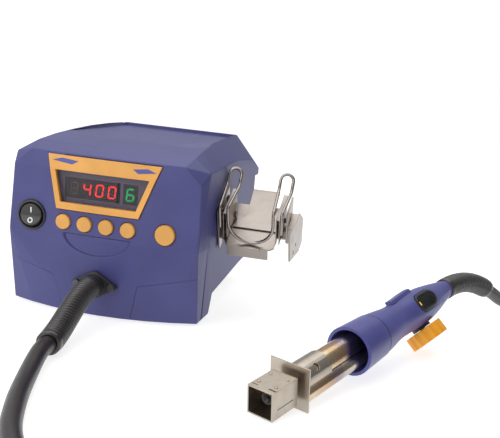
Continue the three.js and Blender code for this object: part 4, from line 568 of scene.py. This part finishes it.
boot_collar, boot_rib_pitch, boot_ribs = 5, 3.1, 24
boot_length = 2 * boot_collar + boot_ribs * boot_rib_pitch
boot_bend_share, boot_chord_share = 0.35, 0.99


def station_boot_line():
    """Four points of the boot that leaves the station's front and sinks to the bench."""
    hose_x, flange_y, hose_z = -2.2, -117.57, 28
    drift, drop, shortening = 5.5, 18.4, 1.5
    return (
        Vector((hose_x, flange_y, hose_z)),
        Vector((hose_x, flange_y - boot_length * boot_bend_share, hose_z)),
        Vector((hose_x + drift / 2, flange_y - boot_length * (1 - boot_bend_share), hose_z - drop)),
        Vector((hose_x + drift, flange_y - boot_length + shortening, hose_z - drop)),
    )


def handpiece_boot_line():
    """Four points of the boot that bends down from the handpiece's rear end."""
    handle_end = 250.3
    heading, slope = math.radians(52), math.radians(22)
    start = (hand_turn @ Vector((handle_end * mm, 0, 0)) - station_origin) / mm
    leaving = hand_turn.col[0].xyz
    level = math.cos(slope)
    arriving = Vector((math.cos(heading) * level, math.sin(heading) * level, -math.sin(slope)))
    end = start + (leaving + arriving).normalized() * boot_length * boot_chord_share
    bend = boot_length * boot_bend_share
    return start, start + leaving * bend, end - arriving * bend, end


def through(places, steps=10):
    """Points on a smooth curve through places, with knots spaced by the root of their distance."""
    known = [Vector(place) for place in places]
    known = [known[0] * 2 - known[1], *known, known[-1] * 2 - known[-2]]
    line = []
    for first, second, third, fourth in zip(known, known[1:], known[2:], known[3:]):
        a = (second - first).length ** 0.5
        b = (third - second).length ** 0.5
        c = (fourth - third).length ** 0.5
        leaving = ((second - first) / a - (third - first) / (a + b) + (third - second) / b) * b
        arriving = ((third - second) / b - (fourth - second) / (b + c) + (fourth - third) / c) * b
        for step in range(steps):
            t = step / steps
            line.append(
                second * (2 * t**3 - 3 * t**2 + 1) + leaving * (t**3 - 2 * t**2 + t)
                + third * (3 * t**2 - 2 * t**3) + arriving * (t**3 - t**2)
            )
    line.append(known[-2])
    return line


def on_bezier(line, share):
    """Place and direction at a share of the way along a curve with four points."""
    a, b, c, d = (Vector(point) for point in line)
    rest = 1 - share
    place = a * rest**3 + b * (3 * rest**2 * share) + c * (3 * rest * share**2) + d * share**3
    heading = (b - a) * (3 * rest**2) + (c - b) * (6 * rest * share) + (d - c) * (3 * share**2)
    return place, heading.normalized()


class STATION_OT_hose(bpy.types.Operator):
    """Adds the air hose and the ribbed boots at its two ends"""

    bl_idname = "hot_air.hose"
    bl_label = "Air Hose and Boots"

    def execute(self, context):
        given = sizes()
        ribbed = finish_of("boot_rubber", lambda: rubbery("boot_rubber", colours().rubber, 0.34, coat=0.5))
        first = self.boot("ribbed_boot_station", station_boot_line())
        dress(first, "station_body", "black_rubber", ribbed, "station_boot")
        second = self.boot("ribbed_boot_handpiece", handpiece_boot_line())
        dress(second, "station_body", "black_rubber", ribbed, "handpiece_boot")
        line = bpy.data.curves.new("air_hose", "CURVE")
        line.dimensions = "3D"
        line.bevel_depth = given.hose_diameter / 2
        line.bevel_resolution = 8
        line.use_fill_caps = True
        spline = line.splines.new("POLY")
        route = [station(*point) for point in through(hose_route)]
        spline.points.add(len(route) - 1)
        for point, place in zip(spline.points, route):
            point.co = (*place, 1)
        spline.use_smooth = True
        hose = bpy.data.objects.new("air_hose", line)
        context.collection.objects.link(hose)
        skin = finish_of("hose_skin", lambda: rubbery("hose_skin", colours().rubber, 0.4, coat=0.1))
        dress(hose, "station_body", "hose_rubber", skin, "hose")
        station(*hose_route[0])
        return {"FINISHED"}

    def boot(self, name, line):
        """A straight ribbed sleeve, spun and then bent on to its line."""
        collar, pitch, ribs = boot_collar * mm, boot_rib_pitch * mm, boot_ribs
        crest, groove, bore = 9 * mm, 7.3 * mm, 6.3 * mm
        profile = [(0, bore), (0, crest - 0.5 * mm), (0.5 * mm, crest), (collar - 0.4 * mm, crest)]
        for rib in range(ribs):
            start = collar + rib * pitch
            for share, radius in ((0.02, groove), (0.16, groove), (0.26, crest - 0.5 * mm),
                                  (0.42, crest - 0.05 * mm), (0.66, crest - 0.05 * mm),
                                  (0.84, crest - 0.5 * mm)):
                profile.append((start + share * pitch, radius))
        full = collar + ribs * pitch
        profile += [(full + 0.4 * mm, crest - 0.2 * mm), (full + 4.4 * mm, crest - 0.4 * mm),
                    (full + 5 * mm, crest - 1 * mm), (full + 5 * mm, bore), (full - 8 * mm, bore)]
        whole = profile[-2][0]
        form = bmesh.new()
        turned(form, profile, Matrix.Identity(4), 40)
        lengths = [0]
        places = [on_bezier(line, step / 60)[0] for step in range(61)]
        for one, other in zip(places, places[1:]):
            lengths.append(lengths[-1] + (other - one).length)
        for point in form.verts:
            wanted = max(0, min(1, point.co.x / whole)) * lengths[-1]
            step = max(i for i in range(60) if lengths[i] <= wanted)
            share = (step + (wanted - lengths[step]) / (lengths[step + 1] - lengths[step])) / 60
            place, heading = on_bezier(line, share)
            side = heading.cross(Vector((0, 0, 1))).normalized()
            over = side.cross(heading)
            point.co = station(*place) + side * point.co.y + over * point.co.z
        return object_from(form, name, 50)


class STATION_OT_housing(bpy.types.Operator):
    """Adds the moulded housing with its rounded edges"""

    bl_idname = "hot_air.housing"
    bl_label = "Housing"

    def execute(self, context):
        skin = finish_of("housing_moulding", lambda: scored_housing(colours().housing))
        moulding = refined("housing_shell", "housing_moulded", 0.7 * mm, 9, True)
        dress(moulding, "station_body", "housing_blue", skin, "housing_shell")
        feet = [f"foot_{end}_{side}" for end in ("front", "rear") for side in ("left", "right")]
        for name in feet:
            foot = refined(name, name + "_moulded", 0.8 * mm)
            dress(foot, "station_body", "black_rubber", soft_rubber(), name)
        coat(zinc_plate(), "base_pan")
        return {"FINISHED"}


class STATION_OT_display(bpy.types.Operator):
    """Adds the bezel with its printed marks, the smoked window and the lit digits"""

    bl_idname = "hot_air.display"
    bl_label = "Display"

    segments = {
        "0": "abcdef", "4": "bcfg", "6": "acdefg", "8": "abcdefg",
    }
    bars = {
        "a": (0, 1, False), "b": (0.5, 0.5, True), "c": (0.5, -0.5, True), "d": (0, -1, False),
        "e": (-0.5, -0.5, True), "f": (-0.5, 0.5, True), "g": (0, 0, False),
    }

    def execute(self, context):
        bezel = moulded("bezel_print", colours().bezel, 0.36, depth=0.006 * mm, dust=0.04)
        dress(refined("display_bezel", "display_bezel_moulded", 0.4 * mm, 25, True), "station_body",
              "bezel_yellow", bezel, "display_bezel")
        coat(clear("smoked_window_plastic", (0.04, 0.035, 0.05), 0.22), "display_window")
        dark = moulded("display_block", (0.028, 0.022, 0.02), 0.3, dust=0.02)
        coat(dark, "red_digit_module", "green_digit_module")
        coat(circuit_board(), "panel_board")
        self.mask(painted("display_mask", (0.2, 0.17, 0.25), 0.5))
        red = lit("red_segments", colours().red_light, 1.6)
        green = lit("green_segments", colours().green_light, 0.9)
        unlit = moulded("unlit_segments", (0.16, 0.09, 0.08), 0.4)
        pitch = sizes().digit_pitch / mm
        self.digit("digit_unlit", "8", -25.9, unlit, "red_digits")
        for place, sign in enumerate("400"):
            self.digit(f"digit_red_{place + 1}", sign, -25.9 + (place + 1) * pitch, red, "red_digits")
        self.digit("digit_green", "6", 19.7, green, "green_digit")
        ink = painted("blue_ink", (0.07, 0.08, 0.3))
        left = ((-43.3, 121.8), (-35.2, 124.2), (-21.5, 122.9), (-26.5, 119.9))
        right = ((22.3, 122.0), (33.9, 123.5), (41.1, 121.0), (27.0, 119.1))
        for name, corners in (("bezel_mark_left", left), ("bezel_mark_right", right)):
            self.printed(name, corners, ink)
        return {"FINISHED"}

    def mask(self, finish):
        """The printed mask round the two digit blocks, seen through the window."""
        form = bmesh.new()
        low, bottom, top, high = 88, 93.4, 109.3, 116
        strips = ((-45, -34, low, high), (-34, 11.3, low, bottom), (-34, 11.3, top, high),
                  (11.3, 13.7, low, high), (13.7, 25.8, low, bottom), (13.7, 25.8, top, high),
                  (25.8, 40, low, high))
        turn = front_turn(0, -102.65, 0) @ Matrix.Scale(mm, 4)
        for left, right, under, over in strips:
            plate(form, ((left, under), (right, under), (right, over), (left, over)), turn, 0.3)
        dress(object_from(form, "display_mask"), "station_body", "black_plastic", finish)

    def digit(self, name, sign, across, finish, slot_name):
        """One digit of sloping bars in front of its block."""
        high = sizes().digit_height / mm
        form = bmesh.new()
        for bar in self.segments[sign]:
            x, z, upright = self.bars[bar]
            long = high / 2 * 0.42 if upright else high / 2 * 0.46
            thick = 0.62
            corners = ((-long, 0), (-long + thick, -thick), (long - thick, -thick), (long, 0),
                       (long - thick, thick), (-long + thick, thick))
            turn = Matrix.Translation((x * high * 0.52, z * (high / 2 - 0.7), 0))
            if upright:
                turn = turn @ Matrix.Rotation(math.radians(90), 4, "Z")
            plate(form, corners, turn, 0.35)
        lean = Matrix(((1, 0.09, 0, 0), (0, 1, 0, 0), (0, 0, 1, 0), (0, 0, 0, 1)))
        turn = front_turn(across, -102.9, 101.2) @ Matrix.Scale(mm, 4) @ lean
        bmesh.ops.transform(form, matrix=turn, verts=form.verts)
        dress(object_from(form, name), "station_body", slot_name, finish)

    def printed(self, name, corners, ink):
        """A printed mark that lies on the bezel's bowed face."""
        form = bmesh.new()
        plate(form, corners, Matrix.Identity(4), 0.2)
        bmesh.ops.transform(form, matrix=front_turn(0, 0, 0) @ Matrix.Scale(mm, 4), verts=form.verts)
        bmesh.ops.subdivide_edges(form, edges=form.edges, cuts=3, use_grid_fill=True)
        self.lay(form, "display_bezel", 0.06 * mm)
        dress(object_from(form, name), "station_body", "housing_blue", ink)

    def lay(self, form, node, proud):
        """Moves a flat mark back on to the face of a node, a little proud of it."""
        depth = lay_on(node)
        front = min(point.co.y for point in form.verts)
        for point in form.verts:
            lift = point.co.y - front
            point.co.y = depth(point.co.x, point.co.z) - proud + (lift if lift > 0 else 0)


def lay_on(node):
    """Gives a function that finds how far back a node's front face is at a place."""
    form = bmesh.new()
    form.from_mesh(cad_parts[node].data)
    tree = BVHTree.FromBMesh(form)
    form.free()

    def depth(x, z):
        hit = tree.ray_cast(Vector((x, -1, z)), Vector((0, 1, 0)))[0]
        if hit is None:
            raise RuntimeError(f"{node} has no face at {x:.4f}, {z:.4f}")
        return hit.y

    return depth


def circuit_board():
    """Green lacquered board with a faint weave."""
    def make():
        finish = Finish("circuit_board_lacquer")
        weave = finish.noise(1.1 * mm, 3)
        patch = finish.noise(7 * mm, 2)
        shade = finish.mix(finish.band(patch, 0.45, 0.6), (0.02, 0.12, 0.05), (0.035, 0.19, 0.08))
        return finish.surface(shade, 0.35 + (weave - 0.5) * 0.1, 0, weave, 0.02 * mm)

    return finish_of("circuit_board_lacquer", make)


class STATION_OT_switch_and_buttons(bpy.types.Operator):
    """Adds the round power switch with its marks, and the panel's buttons"""

    bl_idname = "hot_air.switch_and_buttons"
    bl_label = "Switch and Buttons"

    def execute(self, context):
        dress(refined("switch_body", "switch_housing", 0.5 * mm), "station_body", "black_plastic",
              black_plastic(), "switch_body")
        shiny = finish_of("rocker_moulding", lambda: moulded("rocker_moulding", colours().plastic, 0.3))
        dress(refined("power_rocker", "rocker_moulded", 0.4 * mm), "power_rocker_body", "black_plastic",
              shiny, "power_rocker")
        white = painted("white_ink", (0.8, 0.8, 0.78))
        depth = lay_on("power_rocker")
        for name, place, make in (("mark_on", 80.6, self.stroke), ("mark_off", 72.4, self.ring)):
            form = bmesh.new()
            make(form)
            turn = Matrix.Translation(station(-58.4, 0, place)) @ Matrix.Rotation(math.radians(90), 4, "X")
            bmesh.ops.transform(form, matrix=turn, verts=form.verts)
            front = max(point.co.y for point in form.verts)
            for point in form.verts:
                sunk = 0.1 * mm if point.co.y > front - 0.01 * mm else -0.05 * mm
                point.co.y = depth(point.co.x, point.co.z) + sunk
            dress(object_from(form, name), "power_rocker_body", "black_plastic", white)
        cream = moulded("button_moulding", colours().buttons, 0.4, dust=0.04)
        for number in ("1", "2", "3", "4", "large"):
            node = "panel_button_" + number
            body = "button_large_body" if number == "large" else f"button_{number}_body"
            dress(refined(node, node + "_moulded", 0), body, "button_cream", cream, node)
        return {"FINISHED"}

    def stroke(self, form):
        plate(form, ((-0.45, -2.2), (0.45, -2.2), (0.45, 2.2), (-0.45, 2.2)), Matrix.Scale(mm, 4), 0.3)
        bmesh.ops.subdivide_edges(form, edges=form.edges, cuts=2, use_grid_fill=True)

    def ring(self, form):
        profile = ((0, 1.35 * mm), (0.3 * mm, 1.35 * mm), (0.3 * mm, 2.15 * mm), (0, 2.15 * mm),
                   (0, 1.35 * mm))
        turned(form, profile, Matrix.Rotation(math.radians(-90), 4, "Y"), 32)


class STATION_OT_hose_flange(bpy.types.Operator):
    """Adds the diamond flange and its two screws"""

    bl_idname = "hot_air.hose_flange"
    bl_label = "Hose Flange"

    def execute(self, context):
        dress(refined("hose_flange", "hose_flange_moulded", 0.5 * mm), "station_body", "black_plastic",
              black_plastic(), "hose_flange")
        dark = finish_of("black_screw", lambda: brushed("black_screw", (0.1, 0.1, 0.1), (1, 1, 1), 0.4))
        for number in ("1", "2"):
            node = "flange_screw_" + number
            dress(refined(node, node + "_turned", 0.2 * mm), "station_body", "zinc_steel", dark, node)
        return {"FINISHED"}


class STATION_OT_rest(bpy.types.Operator):
    """Adds the folded steel rest, its wire cradle, plates and screws"""

    bl_idname = "hot_air.rest"
    bl_label = "Handpiece Rest"

    def execute(self, context):
        for node, width, direction in (("rest_bracket", 0.25, "deep"), ("stop_plate", 0.2, "across"),
                                       ("outer_plate", 0.25, "upright")):
            dress(refined(node, node + "_folded", width * mm, 20, True), "station_body", "stainless",
                  stainless(direction), node)
        for side in ("left", "right"):
            node = side + "_pivot_screw"
            dress(refined(node, node + "_turned", 0.15 * mm), "station_body", "stainless", stainless(), node)
            node = side + "_carrier"
            dress(refined(node, node + "_folded", 0.15 * mm, 20, True), "cradle_body", "stainless",
                  stainless("deep"), node)
        wire = finish_of("polished_wire", lambda: brushed("polished_wire", colours().steel, (1, 1, 1), 0.22,
                                                          stain=0.15))
        dress(refined("wire_cradle", "wire_cradle_bent", 0, 60), "cradle_body", "stainless", wire,
              "wire_cradle")
        for number, (deep, high) in enumerate(((-51.9, 89.45), (-33.9, 98.2))):
            form = bmesh.new()
            profile = ((-1.4, 1.9), (0.1, 1.9), (0.1, 3.3), (0.5, 3.3), (0.95, 2.8), (1.2, 1.6), (1.25, 0))
            turn = Matrix.Translation(station(82.7, deep, high)) @ Matrix.Scale(mm, 4)
            turned(form, profile, turn, 32)
            dress(object_from(form, f"rest_screw_{number + 1}"), "station_body", "stainless", wire)
        return {"FINISHED"}


class STATION_OT_handpiece(bpy.types.Operator):
    """Adds the handpiece's shells, collar, window, lamp and side button"""

    bl_idname = "hot_air.handpiece"
    bl_label = "Handpiece"

    def execute(self, context):
        blue = handle_plastic()
        for node in ("handle_upper_shell", "handle_lower_shell", "front_collar"):
            dress(refined(node, node + "_moulded", 0.3 * mm), "station_body", "handle_blue", blue, node)
        dress(refined("side_button", "side_button_moulded", 0.4 * mm), "side_button_body", "handle_blue",
              blue, "side_button")
        dress(refined("window_frame", "window_frame_moulded", 0.25 * mm), "station_body", "black_plastic",
              black_plastic(), "window_frame")
        glass = clear("dark_lens", (0.01, 0.01, 0.012), 0.5, 0.04)
        dress(refined("window_lens", "window_lens_moulded", 0), "station_body", "dark_glass", glass,
              "window_lens")
        coat(circuit_board(), "lamp_board")
        amber = lit("amber_lamp_glow", (0.95, 0.42, 0.04), 6)
        coat(amber, "amber_lamp")
        coat(black_plastic(), "knob_seat")
        # Painted shade: a thin dark ring stands for the shade in the groove at the collar.
        form = bmesh.new()
        profile = ((126, 16.2), (126, 16.8), (126.3, 16.9), (126.9, 16.7), (127.2, 16.3), (127.2, 16.1),
                   (126, 16.2))
        turned(form, [(along * mm, radius * mm) for along, radius in profile], hand_turn, 64)
        dress(object_from(form, "collar_groove_shade"), "station_body", "black_rubber", soft_rubber())
        return {"FINISHED"}


class STATION_OT_heater_and_nozzle(bpy.types.Operator):
    """Adds the heater and side pipes, the folded nozzle with its rivets, and the vacuum pipe"""

    bl_idname = "hot_air.heater_and_nozzle"
    bl_label = "Heater and Nozzle"

    def execute(self, context):
        polished = heat_tinted("heat_tinted_pipe", (0.5, 0.45, 0.4), 30, 118)
        golden = heat_tinted("golden_pipe", (0.53, 0.44, 0.33), 0, 104)
        dress(refined("heater_pipe", "heater_pipe_drawn", 0.15 * mm), "station_body", "pipe_steel", polished,
              "heater_pipe")
        dress(refined("side_pipe", "side_pipe_drawn", 0.15 * mm), "station_body", "pipe_steel", golden,
              "side_pipe")
        folded = finish_of("nozzle_sheet", lambda: brushed("nozzle_sheet", (0.47, 0.42, 0.36), (1, 1, 1),
                                                           0.3, stain=0.5))
        dress(refined("nozzle", "nozzle_folded", 0.12 * mm), "station_body", "pipe_steel", folded, "nozzle")
        coat(finish_of("vacuum_tube", lambda: brushed("vacuum_tube", (0.6, 0.55, 0.5), (1, 1, 1), 0.25)),
             "vacuum_pipe")
        coat(finish_of("ceramic", lambda: moulded("ceramic", (0.75, 0.7, 0.6), 0.7)), "heater_core")
        dress(refined("vacuum_pad", "vacuum_pad_moulded", 0.2 * mm), "vacuum_lift_body", "black_rubber",
              soft_rubber(), "vacuum_pad")
        coat(zinc_plate(), "lift_rack", "knob_shaft")
        self.rivets(folded)
        self.folds(folded)
        return {"FINISHED"}

    def rivets(self, finish):
        """Four small domed rivets on the nozzle's upper side."""
        for number, (x, y) in enumerate(((7, -6.6), (18.5, -6.6), (7, 6.4), (18.5, 6.4))):
            form = bmesh.new()
            profile = [(0, 1.15), (0.3, 1.1), (0.6, 0.75), (0.75, 0)]
            turned(form, profile, Matrix.Scale(mm, 4) @ Matrix.Rotation(math.radians(-90), 4, "Y"), 16)
            turn = nozzle_turn @ Matrix.Translation((x * mm, y * mm, (9.5 if y > 0 else 9.85) * mm))
            bmesh.ops.transform(form, matrix=turn, verts=form.verts)
            dress(object_from(form, f"nozzle_rivet_{number + 1}"), "station_body", "pipe_steel", finish)

    def folds(self, finish):
        """The flap that folds over the nozzle's upper side, and dark sheets of painted shade in the slots
        where its sheet was cut and along the flap's edge.
        """
        form = bmesh.new()
        plate(form, ((3.6, -9.4), (23.5, -9.4), (23.5, -4.2), (3.6, -4.2)),
              nozzle_turn @ Matrix.Translation((0, 0, 9.45 * mm)) @ Matrix.Scale(mm, 4), 0.4)
        dress(object_from(form, "nozzle_flap"), "station_body", "pipe_steel", finish)
        # Painted shade: thin dark sheets lie in the slots and along the flap's edge.
        dark = painted("painted_slot_shade", (0.03, 0.022, 0.016), 0.6)
        upper = nozzle_turn @ Matrix.Translation((0, 0, 9.47 * mm)) @ Matrix.Scale(mm, 4)
        side = (nozzle_turn @ Matrix.Rotation(math.radians(90), 4, "X")
                @ Matrix.Translation((0, 0, 9.47 * mm)) @ Matrix.Scale(mm, 4))
        cuts = (
            ("flap_edge", upper, ((3.2, -4.2), (23.5, -4.2), (23.5, -3.9), (3.2, -3.9))),
            ("slot_front_left", upper, ((2.9, -9.2), (3.6, -9.2), (3.6, -4), (2.9, -4))),
            ("slot_front_right", upper, ((2.9, 3.9), (3.5, 3.9), (3.5, 8.6), (2.9, 8.6))),
            ("slot_side", side, ((5, -3.6), (21, -3.6), (21, -3), (5, -3))),
        )
        for name, turn, corners in cuts:
            form = bmesh.new()
            plate(form, corners, turn, 0.06)
            dress(object_from(form, "nozzle_" + name), "station_body", "pipe_steel", dark)


class STATION_OT_lift_knob(bpy.types.Operator):
    """Adds the ribbed lift knob"""

    bl_idname = "hot_air.lift_knob"
    bl_label = "Lift Knob"

    def execute(self, context):
        orange = moulded("knob_moulding", colours().knob, 0.36, dust=0.05)
        dress(refined("lift_knob", "lift_knob_moulded", 0.5 * mm, 40), "knob_body", "knob_yellow", orange,
              "lift_knob")
        face = (hand_turn @ Matrix.Translation((197 * mm, -27.7 * mm, -6.865 * mm))
                @ Matrix.Rotation(math.radians(90), 4, "X") @ Matrix.Scale(mm, 4))
        form = bmesh.new()
        plate(form, ((-3.9, -0.55), (3.9, -0.55), (3.9, 0.55), (-3.9, 0.55)), face, 0.05)
        dark = painted("slot_shadow", (0.12, 0.045, 0.01), 0.6)
        dress(object_from(form, "knob_slot"), "knob_body", "knob_yellow", dark)
        form = bmesh.new()
        profile = ((0, 8.6), (0.35, 8.8), (0.6, 9.2), (0.35, 9.6), (0, 9.8), (-0.2, 9.2), (0, 8.6))
        sunk = (face @ Matrix.Translation((0, 0, -2.4)) @ Matrix.Rotation(math.radians(-90), 4, "Y"))
        turned(form, profile, sunk, 48)
        dress(object_from(form, "knob_ring"), "knob_body", "knob_yellow", orange)
        return {"FINISHED"}


class STATION_OT_rear_and_inside(bpy.types.Operator):
    """Finishes the rear panel, the inlet and the machine inside the station"""

    bl_idname = "hot_air.rear_and_inside"
    bl_label = "Rear Panel and Inside"

    def execute(self, context):
        black = black_plastic()
        coat(black, "rear_panel", "blower_housing", "blower_cover", "blower_impeller")
        for node in ("mains_inlet", "fuse_holder"):
            dress(refined(node, node + "_moulded", 0.3 * mm), "station_body", "black_plastic", black, node)
        coat(zinc_plate(), "blower_motor", "vacuum_pump")
        coat(circuit_board(), "main_board")
        coat(finish_of("varnished_iron", lambda: brushed("varnished_iron", (0.2, 0.12, 0.08), (1, 1, 0.05),
                                                         0.5)), "mains_transformer")
        return {"FINISHED"}


class STATION_PT_pieces(bpy.types.Panel):
    """Lists the operators and the sizes and colours that they use"""

    bl_idname = "STATION_PT_pieces"
    bl_label = "Hot Air Station"
    bl_space_type = "VIEW_3D"
    bl_region_type = "UI"
    bl_category = "Hot Air"

    def draw(self, context):
        column = self.layout.column(align=True)
        for maker in makers:
            column.operator(maker.bl_idname)
        for group in (context.scene.station_sizes, context.scene.station_colours):
            box = self.layout.box()
            for name in group.__annotations__:
                box.prop(group, name)


makers = (
    STATION_OT_stage, STATION_OT_hose, STATION_OT_housing, STATION_OT_display,
    STATION_OT_switch_and_buttons, STATION_OT_hose_flange, STATION_OT_rest, STATION_OT_handpiece,
    STATION_OT_heater_and_nozzle, STATION_OT_lift_knob, STATION_OT_rear_and_inside,
)
classes = (StationColours, StationSizes, *makers, STATION_PT_pieces)


def register():
    for cls in classes:
        bpy.utils.register_class(cls)
    bpy.types.Scene.station_colours = bpy.props.PointerProperty(type=StationColours)
    bpy.types.Scene.station_sizes = bpy.props.PointerProperty(type=StationSizes)


def unregister():
    del bpy.types.Scene.station_sizes
    del bpy.types.Scene.station_colours
    for cls in reversed(classes):
        bpy.utils.unregister_class(cls)


def main():
    register()
    for maker in makers:
        area, name = maker.bl_idname.split(".")
        getattr(getattr(bpy.ops, area), name)()


if __name__ == "__main__":
    main()
